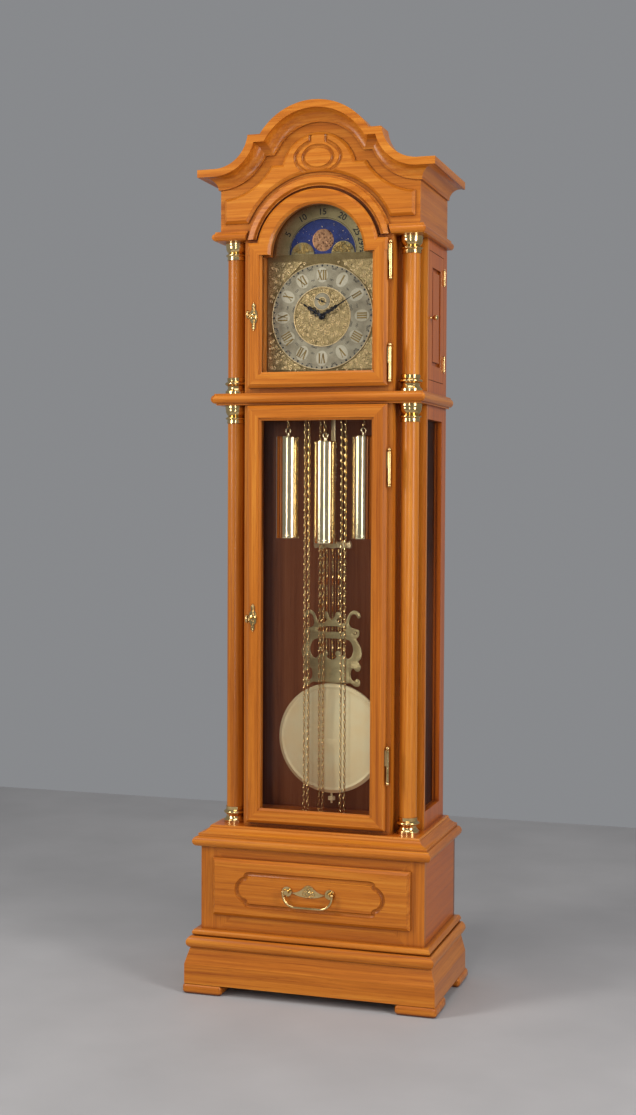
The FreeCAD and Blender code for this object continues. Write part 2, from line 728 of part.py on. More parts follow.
def escutcheon(name, z):
    """A pierced brass lock plate on the left stile."""
    face = "case_front - gap - door_thick"
    lobes = [(0, -31, "-5"), (4.5, -24, "-5"), (2.5, -18), (9, -6, "-12"), (9, 6, "-14"), (2.5, 18, "-12"),
             (4.5, 24),
             (0, 31, "-5"), (-4.5, 24, "-5"), (-2.5, 18), (-9, 6, "-12"), (-9, -6, "-14"), (-2.5, -18, "-12"),
             (-4.5, -24)]
    outline = [(f"{across} - lock_x", f"{z} + ({up})", *bend) for across, up, *bend in lobes]
    plate = slab(name + "_plate", "XZ", outline, f"{face} - 2", face)
    return less(name, plate, lock_hole(name + "_hole", z))


def door_knuckles(name, levels):
    """The upper knuckle of each hinge, with the leaf that joins it to the door's edge."""
    knuckles = []
    for index, z in enumerate(levels):
        barrel = rod(f"{name}_barrel_{index}", ("hinge_x", "hinge_y", f"{z} + gap"), "hinge_radius",
                     "knuckle")
        leaf = box(f"{name}_leaf_{index}", ("door_side", "hinge_x"), ("hinge_y - 1", "hinge_y + 1"),
                   (f"{z} + gap", f"{z} + gap + knuckle"))
        bore = rod(f"{name}_bore_{index}", ("hinge_x", "hinge_y", z), "2 + fit", "knuckle + 5")
        knuckles.append(less(f"{name}_knuckle_{index}", joined(f"{name}_solid_{index}", barrel, leaf), bore))
    return knuckles


HINGES = {"trunk": ("578", "1289"), "hood": ("1537", "1779")}


def hinge_pins():
    """The case's half of every hinge: lower knuckle, strap, pin and a ball at each end."""
    pins = []
    for door, levels in HINGES.items():
        for index, z in enumerate(levels):
            name = f"{door}_hinge_{index}"
            barrel = rod(name + "_barrel", ("hinge_x", "hinge_y", f"{z} - knuckle"), "hinge_radius",
                         "knuckle")
            strap = box(name + "_strap", ("hinge_x - 1", "hinge_x + 1"), ("hinge_y", "case_front"),
                        (f"{z} - knuckle", z))
            pin = rod(name + "_pin", ("hinge_x", "hinge_y", z), 2, "knuckle + 6")
            low = ball(name + "_low_ball", ("hinge_x", "hinge_y", f"{z} - knuckle - 4"), 4.6)
            high = ball(name + "_high_ball", ("hinge_x", "hinge_y", f"{z} + knuckle + 5.2"), 4.6)
            pins.append(joined(name, barrel, strap, pin, low, high))
    node("hinge_pins", *pins)


def key(name, z):
    """A key that stands in its lock: shank, collar and a ring bow."""
    face = "case_front - gap - door_thick - 2"
    shank = rod(name + "_shank", ("-lock_x", f"{face} - 30", z), "key_radius", 42, "y")
    collar = rod(name + "_collar", ("-lock_x", f"{face} - 4", z), 4.5, 3.5, "y")
    bow = ring(name + "_bow", ("-lock_x", f"{face} - 38", z), 9, 2.2, FreeCAD.Rotation(V(0, 1, 0), 90))
    node(name, joined(name + "_solid", shank, collar, bow))


def trunk_door():
    """Trunk door: a mitred frame, its glass, hinges and lock plate."""
    left_hole = lock_hole("trunk_lock_hole", "trunk_lock_z")
    rails = door_rails("trunk_door", "door_low", "door_high")
    rails[1] = less("trunk_lock_stile", rails[1], left_hole)
    node("trunk_door_frame", *rails)
    edge = "door_side - door_frame + 4.7"
    node("trunk_door_glass",
         box("trunk_pane", (f"-({edge})", edge),
             ("case_front - gap - 8", "case_front - gap - 8 + glass_thick"),
                                 ("door_low + door_frame - 4.7", "door_high - door_frame + 4.7")))
    node("trunk_door_brasses", escutcheon("trunk_escutcheon", "trunk_lock_z"),
         *door_knuckles("trunk_door", HINGES["trunk"]))


def hood_door():
    """Hood door: the same rails with an arched head, its glass, hinges and lock plate."""
    rails = door_rails("hood_door", "hood_door_low", "arch_z", top_rail=False)
    rails[1] = less("hood_lock_stile", rails[1], lock_hole("hood_lock_hole", "hood_lock_z"))
    shoulder_x = "sqrt(door_arch^2 - (hood_door_shoulder - arch_z)^2)"
    head = slab("hood_door_head", "XZ", [
        ("door_side", "arch_z"), ("door_side", "hood_door_shoulder"), (shoulder_x, "hood_door_shoulder"),
        (f"-({shoulder_x})", "hood_door_shoulder", "-door_arch"), ("-door_side", "hood_door_shoulder"),
        ("-door_side", "arch_z"), ("-door_arch_in", "arch_z"), ("door_arch_in", "arch_z", "door_arch_in")],
        "case_front - gap - door_thick", "case_front - gap")
    face = number("case_front - gap - door_thick")
    foot = number("arch_z")
    dressed(head, "Chamfer", "6",
            lambda edge: abs(edge.CenterOfMass.y - face) < 0.01 and edge.CenterOfMass.z > foot + 1)
    node("hood_door_frame", *rails, head)
    edge = "door_side - door_frame + 4.7"
    pane = box("hood_pane", (f"-({edge})", edge),
               ("case_front - gap - 8", "case_front - gap - 8 + glass_thick"),
               ("hood_door_low + door_frame - 4.7", "arch_z"))
    lune = slab("hood_arch_pane", "XZ",
                [("door_arch_in - 0.3", "arch_z"), ("gap - door_arch_in", "arch_z", "gap - door_arch_in")],
                "case_front - gap - 8", "case_front - gap - 8 + glass_thick")
    node("hood_door_glass", joined("hood_glass_pane", pane, lune))
    node("hood_door_brasses", escutcheon("hood_escutcheon", "hood_lock_z"),
         *door_knuckles("hood_door", HINGES["hood"]))


def side_doors():
    """The two small doors in the hood's sides, each a framed panel with a knob and two hinges."""
    depth = ("side_door_front", "side_door_back")
    height = ("side_door_low", "side_door_high")
    frame = box("side_door_slab", ("case_side - board", "case_side"), depth, height)
    sunk = box("side_door_sunk", ("case_side - 6", "case_side + 1"),
               ("side_door_front + 32", "side_door_back - 32"),
               ("side_door_low + 36", "side_door_high - 36"))
    field = box("side_door_field", ("case_side - 6", "case_side - 1"),
                ("side_door_front + 42", "side_door_back - 42"),
                ("side_door_low + 46", "side_door_high - 46"))
    stem = rod("side_knob_stem", ("case_side", "side_door_front + 17", "hood_lock_z"), 3, 9, "x")
    head = ball("side_knob_head", ("case_side + 12", "side_door_front + 17", "hood_lock_z"), 6.5)
    panel = joined("side_door_panel", less("side_door_frame", frame, sunk), field)
    right = [panel, joined("side_knob", stem, head)]
    for end, low in (("low", "side_door_low + 30"), ("high", "side_door_high - 66")):
        leaf = box(f"side_hinge_leaf_{end}", ("case_side", "case_side + 1"),
                   ("side_door_back - 12", "side_door_back + 1.5"),
                   (low, f"{low} + 36"))
        barrel = rod(f"side_hinge_barrel_{end}", ("case_side + 2.5", "side_door_back + 1.5", low), 2.4, 36)
        right.append(joined(f"side_hinge_{end}", leaf, barrel))
    node("right_side_door", *right)
    node("left_side_door", *[mirrored(piece) for piece in right])


# ---- Dial ----

def disc(name, x, z, radius, low, high, hole=None):
    """A flat disc or ring that faces the front, between two depths."""
    whole = rod(name, (x, low, z), radius, f"({high}) - ({low})", "y")
    if hole is None:
        return whole
    return less(name + "_ring", whole,
                rod(name + "_hole", (x, f"({low}) - 1", z), hole, f"({high}) - ({low}) + 2", "y"))


def dial():
    """Dial plate with an arched head, the two chapter rings, cast ornaments and the moon's surround."""
    depth = ("dial_front", "dial_front + dial_thick")
    plate = slab("dial_sheet", "XZ", [
        ("dial_side", "dial_low"), ("dial_side", "arch_z"), ("dial_arch", "arch_z"),
        ("-dial_arch", "arch_z", "-dial_arch"),
        ("-dial_side", "arch_z"), ("-dial_side", "dial_low")], *depth)
    window = slab("moon_window", "XZ",
                  [("moon_radius - 3", "moon_z"), ("3 - moon_radius", "moon_z", "3 - moon_radius")],
                  "dial_front - 5", "dial_front + 5")
    centre = disc("dial_centre_hole", "0", "dial_z", 8, "dial_front - 5", "dial_front + 5")
    second = disc("dial_second_hole", "0", "seconds_z", 3, "dial_front - 5", "dial_front + 5")
    node("dial_plate", less("dial_pierced", plate, window, centre, second))
    hours = disc("hour_ring", "0", "dial_z", "chapter_out", "dial_front - 2.5", "dial_front", "chapter_in")
    seconds = disc("seconds_ring", "0", "seconds_z", 21, "dial_front - 2.5", "dial_front - 1.3", 9)
    node("chapter_rings", hours, seconds)

    centre_disc = disc("centre_disc", "0", "dial_z", 70, "dial_front - 1.3", "dial_front", 8)
    pierced = less("centre_pierced", centre_disc,
                   disc("centre_second_hole", "0", "seconds_z", 3, "dial_front - 3", "dial_front + 1"))
    spandrels = []
    corner_x = "dial_side - 4"
    for level, outer, inner in (("low", "dial_low + 4", "dial_low + 92"),
                                ("high", "arch_z - 12", "arch_z - 100")):
        blank = slab(f"{level}_spandrel_blank", "XZ", [
            (corner_x, outer), (corner_x, inner), (f"{corner_x} - 88", outer)], "dial_front - 2",
                     "dial_front")
        round_cut = disc(f"{level}_spandrel_cut", "0", "dial_z", "chapter_out + 2", "dial_front - 4",
                         "dial_front + 2")
        spandrels += both(less(f"{level}_spandrel", blank, round_cut))
    node("dial_castings", pierced, *spandrels)

    arch = slab("moon_arch_band", "XZ", [
        ("dial_arch - 8", "moon_z"), ("8 - dial_arch", "moon_z", "8 - dial_arch"),
        ("3 - moon_radius", "moon_z"),
        ("moon_radius - 3", "moon_z", "moon_radius - 3")], "dial_front - 2", "dial_front")
    hump = slab("moon_hump", "XZ", [("80", "moon_z"), ("22", "moon_z", "-29")], *depth)
    node("moon_arch", arch, *both(hump))
    node("moon_disc", disc("moon_wheel", "0", "moon_z", "moon_radius", "dial_front + 3.3", "dial_front + 5"))


def hand(name, z, length, tail, width, low, high, hub):
    """A flat hand that points straight up from its arbor, wider at the middle of its blade."""
    blade = slab(name + "_blade", "XZ", [
        (f"-{width} / 3", f"{z} - {tail}"), (f"{width} / 3", f"{z} - {tail}"),
        (f"{width} / 3", f"{z} + {length} * 0.35"),
        (width, f"{z} + {length} * 0.6"), ("0.6", f"{z} + {length}"), ("-0.6", f"{z} + {length}"),
        (f"-{width}", f"{z} + {length} * 0.6"), (f"-{width} / 3", f"{z} + {length} * 0.35")], low, high)
    return joined(name + "_flat", blade, disc(name + "_boss", "0", z, hub, low, high))


def at_hour(item, z, degrees):
    """Turns a hand on its arbor, clockwise seen from the front."""
    turned_hand = doc.addObject("Part::Compound", item.Name + "_set")
    turned_hand.Links = [item]
    angle = FreeCAD.Rotation(V(0, 1, 0), degrees)
    pivot = V(0, 0, number(z))
    turned_hand.Placement = FreeCAD.Placement(pivot - angle.multVec(pivot), angle)
    return turned_hand


def hands():
    """Hour, minute and seconds hands on their arbors, at about ten minutes past ten."""
    hour = at_hour(hand("hour_blade", "dial_z", 72, 12, 7, "dial_front - 9.5", "dial_front - 8.3", 8),
                   "dial_z", 304)
    hour_pipe = disc("hour_pipe", "0", "dial_z", 5, "dial_front - 8.3", "front_plate - 1")
    hour_bore = disc("hour_bore", "0", "dial_z", "3 + fit", "dial_front - 12", "front_plate + 1")
    node("hour_hand", less("hour_hand_bored", joined("hour_hand_solid", hour, hour_pipe), hour_bore))
    minute = at_hour(hand("minute_blade", "dial_z", 108, 16, 6, "dial_front - 12.5", "dial_front - 11.3", 7),
                     "dial_z", 59)
    minute_arbor = disc("minute_arbor", "0", "dial_z", 3, "dial_front - 14", "back_plate + 1")
    nut = disc("hand_nut", "0", "dial_z", 4.5, "dial_front - 15", "dial_front - 12.5")
    node("minute_hand", joined("minute_hand_solid", minute, minute_arbor, nut))
    second = at_hour(hand("seconds_blade", "seconds_z", 17, 6, 1.6, "dial_front - 5", "dial_front - 4.2",
                          2.5), "seconds_z", 295)
    arbor = disc("seconds_arbor", "0", "seconds_z", 1.5, "dial_front - 5.5", "back_plate + 1")
    wheel = disc("escape_wheel", "0", "seconds_z", 18, "back_plate - 12", "back_plate - 10")
    node("seconds_hand", joined("seconds_hand_solid", second, arbor, wheel))


# ---- Movement ----



def movement():
    """Seat boards, movement plates on four pillars, the pendulum cock, the chain hooks and the chime rods."""
    inside = ("board - case_side", "case_side - board")
    height = ("seat_low", "seat_high")
    node("seatboard",
         box("seat_front", ("board - notch_side", "notch_side - board"), ("case_front + board", "-52"),
             height),
         box("seat_rear", inside, ("2.5", "18.5"), height))
    holes = []
    arbors = [("0", "dial_z", 3), ("0", "seconds_z", 1.5), ("0", "swing_z", 2),
              ("weight_x - sprocket_pitch", "sprocket_z", 3), ("sprocket_pitch - weight_x", "sprocket_z", 3)]
    for index, (x, z, radius) in enumerate(arbors):
        holes.append(disc(f"arbor_hole_{index}", x, z, f"{radius} + fit", "front_plate - 5",
                          "back_plate + 8"))
    pieces = []
    for name, front in (("front", "front_plate"), ("back", "back_plate")):
        sheet_metal = box(name + "_plate_blank", ("-plate_side", "plate_side"),
                          (front, f"{front} + plate_thick"),
                          ("seat_high", "plate_top"))
        pieces.append(less(name + "_plate", sheet_metal, *holes))
    between = "back_plate - front_plate - plate_thick"
    for index, z in enumerate(("seat_high + 18", "plate_top - 14")):
        pieces += both(rod(f"pillar_{index}", ("pillar_x", "front_plate + plate_thick", z), 6, between, "y"))
    cock = joined("pendulum_cock",
                  box("cock_top", ("-14", "14"), ("back_plate + plate_thick", "swing_y + 9"),
                      ("swing_z + 4", "swing_z + 14")),
                  box("cock_clamp", ("-5", "5"), ("swing_y - 3", "swing_y + 3"),
                      ("swing_z + gap", "swing_z + 4")))
    pieces.append(cock)
    side_hook = rod("side_chain_hook", ("loop_x - loop_gap", "-52", "seat_low + 9"), 1.5, 14, "y")
    middle_hook = rod("middle_chain_hook",
                      ("middle_loop_x + loop_gap", "middle_loop_y - 1.5", "seat_low + 9"), 1.5, 9.5, "y")
    pieces += [*both(side_hook), middle_hook, *turned_bracket()]
    node("movement_frame", *pieces)
    block = box("chime_block", ("120", "160"), ("back - back_board - 26", "back - back_board"),
                ("1560", "1600"))
    bars = [block]
    for index in range(8):
        bars.append(rod(f"chime_rod_{index}", (f"{126 + 4 * index}", "back - back_board - 13", "1250"), 1.2,
                        f"{310}"))
    node("chime_rods", *bars)


def middle_turn():
    """The middle sprocket is turned in plan, so that its slack side hangs behind its weight."""
    across = math.atan2(number("middle_loop_y") - number("weight_y"), number("middle_loop_x"))
    return math.degrees(across)


def turned_bracket():
    """A bridge between the plates with two lugs that carry the middle sprocket."""
    bridge = box("sprocket_bridge", ("-40", "16"), ("front_plate + plate_thick", "back_plate"),
                 ("sprocket_z + 38", "sprocket_z + 42"))
    lugs = [bridge]
    for index, offset in enumerate((-11, 8)):
        lug = doc.addObject("Part::Box", f"sprocket_lug_{index}")
        lug.Length, lug.Width, lug.Height = 12, 3, 46
        lug.Placement = plan_placement(-6, offset, number("sprocket_z") - 8)
        bore = doc.addObject("Part::Cylinder", f"sprocket_lug_bore_{index}")
        bore.Radius, bore.Height = 3 + number("fit"), 40
        bore.Placement = plan_placement(0, -20, number("sprocket_z"), FreeCAD.Rotation(V(1, 0, 0), -90))
        lugs.append(less(f"sprocket_lug_bored_{index}", lug, bore))
    return lugs


def plan_placement(along, across, z, turn=FreeCAD.Rotation()):
    """A place measured along and across the middle sprocket, from its centre."""
    plan = FreeCAD.Rotation(V(0, 0, 1), middle_turn())
    centre = V(number("middle_loop_x") / 2, (number("middle_loop_y") + number("weight_y")) / 2, 0)
    return FreeCAD.Placement(centre + plan.multVec(V(along, across, 0)) + V(0, 0, z), plan * turn)


def sprockets():
    """Three chain sprockets on their arbors."""
    for side, sign in (("left", "-"), ("right", "")):
        centre = f"{sign}(weight_x - sprocket_pitch)"
        hub = disc(side + "_hub", centre, "sprocket_z", "sprocket_pitch - chain_radius - 0.4", "weight_y - 4",
                   "weight_y + 4")
        wheel = disc(side + "_wheel", centre, "sprocket_z", 30, "weight_y + 8", "weight_y + 11")
        arbor = disc(side + "_arbor", centre, "sprocket_z", 3, "front_plate", "back_plate + plate_thick")
        node(side + "_sprocket", joined(side + "_sprocket_solid", hub, wheel, arbor))
    pitch = middle_pitch()
    hub = doc.addObject("Part::Cylinder", "middle_hub")
    hub.Radius, hub.Height = pitch - number("chain_radius") - 0.4, 8
    hub.Placement = plan_placement(0, -4, number("sprocket_z"), FreeCAD.Rotation(V(1, 0, 0), -90))
    arbor = doc.addObject("Part::Cylinder", "middle_arbor")
    arbor.Radius, arbor.Height = 3, 22
    arbor.Placement = plan_placement(0, -11, number("sprocket_z"), FreeCAD.Rotation(V(1, 0, 0), -90))
    node("middle_sprocket", joined("middle_sprocket_solid", hub, arbor))


def middle_pitch():
    """Radius at which the chain runs round the middle sprocket."""
    return math.hypot(number("middle_loop_x"), number("middle_loop_y") - number("weight_y")) / 2


def weights():
    """Three brass weights, each a tube with two caps and a hook. The middle one hangs a little lower."""
    profile = [("0", "0"), ("weight_radius", "0"), ("weight_radius + 0.8", "3"),
               ("weight_radius + 0.8", "7"), ("weight_radius", "8"), ("weight_radius", "weight_long - 8"),
               ("weight_radius + 0.8", "weight_long - 7"), ("weight_radius + 0.8", "weight_long - 3"),
               ("weight_radius", "weight_long"), ("4", "weight_long + 3"), ("4", "weight_long + 8"),
               ("0", "weight_long + 8")]
    for side, x, drop in (("left", "-weight_x", "0"), ("middle", "0", "middle_drop"),
                          ("right", "weight_x", "0")):
        low = f"weight_low - {drop}"
        tube = turned(side + "_tube", profile, (x, "weight_y", low))
        eye = ring(side + "_eye", (x, "weight_y", f"{low} + weight_long + 14"), 6, 2,
                   FreeCAD.Rotation(V(1, 0, 0), 90))
        node(side + "_weight", joined(side + "_weight_solid", tube, eye))


def chains():
    """Each chain: the drop to its weight, the turn over its sprocket, and a slack loop that ends on a hook."""
    top = "sprocket_z"
    for side, sign, drop in (("left", "-", "0"), ("right", "", "0"), ("middle", "", "middle_drop")):
        low = f"weight_low - {drop} + weight_long + 22.3"
        x = "0" if side == "middle" else f"{sign}weight_x"
        node(side + "_chain_drop",
             rod(side + "_drop", (x, "weight_y", low), "chain_radius", f"{top} - ({low})"))
    for side, sign in (("left", "-1"), ("right", "1")):
        centre = f"{sign} * (weight_x - sprocket_pitch)"
        over = ring(side + "_over", (centre, "weight_y", top), "sprocket_pitch", "chain_radius",
                    FreeCAD.Rotation(V(1, 0, 0), 90), 180)
        slack = rod(side + "_slack", (f"{sign} * loop_x", "weight_y", "loop_low"), "chain_radius",
                    f"{top} - loop_low")
        bight = ring(side + "_bight", (f"{sign} * (loop_x - loop_gap / 2)", "weight_y", "loop_low"),
                     "loop_gap / 2",
                     "chain_radius", FreeCAD.Rotation(V(1, 0, 0), -90), 180)
        rise = rod(side + "_rise", (f"{sign} * (loop_x - loop_gap)", "weight_y", "loop_low"), "chain_radius",
                   "seat_low + 7.2 - loop_low")
        node(side + "_chain_slack", joined(side + "_slack_solid", over, slack, bight, rise))
    over = doc.addObject("Part::Torus", "middle_over")
    over.Radius1, over.Radius2, over.Angle3 = middle_pitch(), number("chain_radius"), 180
    over.Placement = plan_placement(0, 0, number(top), FreeCAD.Rotation(V(1, 0, 0), 90))
    slack = rod("middle_slack", ("middle_loop_x", "middle_loop_y", "loop_low"), "chain_radius",
                f"{top} - loop_low")
    bight = ring("middle_bight", ("middle_loop_x + loop_gap / 2", "middle_loop_y", "loop_low"),
                 "loop_gap / 2",
                 "chain_radius", FreeCAD.Rotation(V(1, 0, 0), -90), 180)
    rise = rod("middle_rise", ("middle_loop_x + loop_gap", "middle_loop_y", "loop_low"), "chain_radius",
               "seat_low + 7.2 - loop_low")
    node("middle_chain_slack", joined("middle_slack_solid", over, slack, bight, rise))


def pendulum():
    """Suspension, leader and bridge with rods, a lyre, and a disc bob with its rating nut."""
    flat = ("swing_y - 3.5", "swing_y + 3.5")
    spring = box("suspension", ("-3", "3"), ("swing_y - 0.5", "swing_y + 0.5"), ("swing_z - 24", "swing_z"))
    leader = box("leader", ("-5", "5"), ("swing_y - 1.5", "swing_y + 1.5"), ("bridge_high", "swing_z - 24"))
    bridge = box("bridge", ("-48", "48"), flat, ("bridge_low", "bridge_high"))
    sill = box("sill", ("-42", "42"), flat, ("lyre_low", "lyre_low + 8"))
    rods = []
    for index in range(9):
        radius = 1.2 if index % 2 else 2.4
        foot = (f"{index - 4} * rod_pitch", "swing_y", "lyre_low + 8")
        rods.append(rod(f"lyre_rod_{index}", foot, radius, "bridge_low - lyre_low - 8"))
    node("pendulum_hanger", joined("hanger_solid", spring, leader, bridge, sill, *rods))

    front = ("swing_y - 7.5", "swing_y - 3.5")
    arms = slab("lyre_arms", "XZ", [
        ("14", "lyre_low"), ("78", "lyre_low + 62", "-62"), ("46", "lyre_high - 32", "90"),
        ("30", "lyre_high", "-40"),
        ("22", "lyre_high"), ("36", "lyre_high - 40", "44"), ("62", "lyre_low + 64", "-80"),
        ("14", "lyre_low + 16", "50")], *front)
    bar = box("lyre_bar", ("-50", "50"), front, ("lyre_high - 40", "lyre_high - 30"))
    base_bar = box("lyre_base", ("-16", "16"), front, ("lyre_low", "lyre_low + 16"))
    node("pendulum_lyre", joined("lyre_solid", *both(arms), bar, base_bar))

    dome = [("0", "-9"), ("bob_radius - 8", "-6"), ("bob_radius", "-4"), ("bob_radius", "4"),
            ("bob_radius - 8", "9"),
            ("bob_radius - 14", "8"), ("0", "13")]
    bob = turned("bob_disc", dome, ("0", "swing_y", "bob_z"), "y")
    screw = rod("bob_screw", ("0", "swing_y", "bob_z - bob_radius - 26"), 2.5, 30)
    nut = rod("rating_nut", ("0", "swing_y", "bob_z - bob_radius - 18"), 9, 8)
    node("pendulum_bob", joined("bob_solid", bob, screw, nut))

    arbor = disc("anchor_arbor", "0", "swing_z", 2, "front_plate", "swing_y - 5")
    beam = box("anchor_beam", ("-17", "17"), ("back_plate - 13", "back_plate - 9"),
               ("swing_z - 10", "swing_z + 3"))
    pallet = box("pallet", ("14", "17"), ("back_plate - 13", "back_plate - 9"),
                 ("swing_z - 27", "swing_z - 9"))
    crutch = box("crutch", ("-4", "4"), ("swing_y - 7", "swing_y - 5"), ("swing_z - 100", "swing_z + 2.5"))
    fork = box("crutch_foot", ("-10", "10"), ("swing_y - 7", "swing_y - 5"),
               ("swing_z - 104", "swing_z - 98"))
    prong = rod("fork_prong", ("7", "swing_y - 5", "swing_z - 101"), 1.5, 9, "y")
    node("anchor", joined("anchor_solid", arbor, beam, *both(pallet), crutch, fork, *both(prong)))


def check_and_write():
    """Stops if anything failed, then writes one file for each sub-part."""
    doc.recompute()
    broken = [item.Name for item in doc.Objects if "Invalid" in item.State or "Error" in item.State]
    if broken:
        raise SystemExit("failed objects: " + ", ".join(broken))
    os.makedirs("parts", exist_ok=True)
    for item in nodes:
        if item.Shape.isNull() or not item.Shape.isValid() or not item.Shape.Solids:
            raise SystemExit("bad shape: " + item.Label)
        item.Shape.exportStep(f"parts/{item.Label}.step")
    print(len(nodes), "sub-parts written")


feet()
plinth()
base()
drawer()
corner_posts()
side_walls()
front_rails()
columns()
case_mouldings()
pediment()
hinge_pins()
trunk_door()
hood_door()
key("trunk_key", "trunk_lock_z")
key("hood_key", "hood_lock_z")
side_doors()
dial()
hands()
movement()
sprockets()
weights()
chains()
pendulum()
check_and_write()
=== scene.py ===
"""Visual model of a longcase clock with three weights, a lyre pendulum and a moon dial.

Shapes are in millimetres and the measures of materials, lamps and camera in metres. X runs to the right,
Y to the back and Z up.
"""

import math
import random

import bmesh
import bpy
from mathutils import Matrix, Vector


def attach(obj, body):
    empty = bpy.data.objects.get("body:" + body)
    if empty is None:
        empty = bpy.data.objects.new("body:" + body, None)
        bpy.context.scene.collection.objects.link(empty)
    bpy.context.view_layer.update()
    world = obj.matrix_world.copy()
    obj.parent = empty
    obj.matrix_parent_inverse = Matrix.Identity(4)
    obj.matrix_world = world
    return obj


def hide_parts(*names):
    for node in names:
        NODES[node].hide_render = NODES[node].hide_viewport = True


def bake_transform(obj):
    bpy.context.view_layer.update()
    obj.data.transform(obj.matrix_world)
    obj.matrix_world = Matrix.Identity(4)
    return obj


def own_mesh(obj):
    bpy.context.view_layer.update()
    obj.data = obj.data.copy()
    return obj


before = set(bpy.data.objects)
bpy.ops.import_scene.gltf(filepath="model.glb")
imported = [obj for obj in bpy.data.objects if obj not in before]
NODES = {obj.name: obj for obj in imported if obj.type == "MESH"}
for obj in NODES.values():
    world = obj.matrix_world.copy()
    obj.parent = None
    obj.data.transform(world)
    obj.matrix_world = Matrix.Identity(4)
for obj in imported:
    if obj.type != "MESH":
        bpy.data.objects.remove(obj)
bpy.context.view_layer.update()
MM = 0.001


# ---- Materials ----

class Finish:
    """A procedural material while it is built. Nodes are added by kind, their inputs by name or number."""

    def __init__(self, name):
        self.material = bpy.data.materials.new(name)
        self.material.use_nodes = True
        self.tree = self.material.node_tree
        self.shader = self.tree.nodes["Principled BSDF"]
        self.place = self.node("ShaderNodeTexCoord").outputs["Object"]

    def node(self, kind, inputs=None, **settings):
        made = self.tree.nodes.new(kind)
        for key, value in settings.items():
            setattr(made, key, value)
        for key, value in (inputs or {}).items():
            self.feed(made.inputs[key], value)
        return made

    def feed(self, socket, value):
        if isinstance(value, bpy.types.NodeSocket):
            self.tree.links.new(value, socket)
        else:
            socket.default_value = value

    def maths(self, operation, first, second=0.0, third=0.0):
        inputs = {0: first, 1: second, 2: third}
        return self.node("ShaderNodeMath", inputs, operation=operation).outputs[0]

    def scaled(self, vector, scale, shift=(0, 0, 0)):
        mapping = self.node("ShaderNodeMapping", {"Vector": vector, "Scale": scale, "Location": shift})
        return mapping.outputs["Vector"]

    def noise(self, vector, scale, detail=3.0, roughness=0.5, distortion=0.0):
        inputs = {"Vector": vector, "Scale": scale, "Detail": detail, "Roughness": roughness,
                  "Distortion": distortion}
        return self.node("ShaderNodeTexNoise", inputs).outputs["Fac"]

    def ramp(self, factor, stops):
        made = self.node("ShaderNodeValToRGB", {"Fac": factor})
        elements = made.color_ramp.elements
        while len(elements) < len(stops):
            elements.new(0.5)
        for element, (position, colour) in zip(elements, stops):
            element.position = position
            element.color = (*colour, 1.0)
        return made.outputs["Color"]

    def mixed(self, factor, first, second, blend="MIX"):
        made = self.node("ShaderNodeMix", data_type="RGBA", blend_type=blend)
        for socket, value in zip((made.inputs[0], made.inputs[6], made.inputs[7]), (factor, first, second)):
            self.feed(socket, value if isinstance(value, (bpy.types.NodeSocket, float)) else (*value, 1.0))
        return made.outputs[2]

    def bump(self, height, strength, distance):
        inputs = {"Height": height, "Strength": strength, "Distance": distance}
        self.feed(self.shader.inputs["Normal"], self.node("ShaderNodeBump", inputs).outputs["Normal"])

    def set(self, **values):
        for key, value in values.items():
            self.feed(self.shader.inputs[key.replace("_", " ")], value)
        return self.material


# Reach and dark red-brown tint of the painted shade, with some pooled stain, that darkens the wood in hollows
# and grooves.
NOOK_SHADE_REACH = 0.017
NOOK_SHADE_AND_STAIN_TINT = (0.155, 0.030, 0.005)


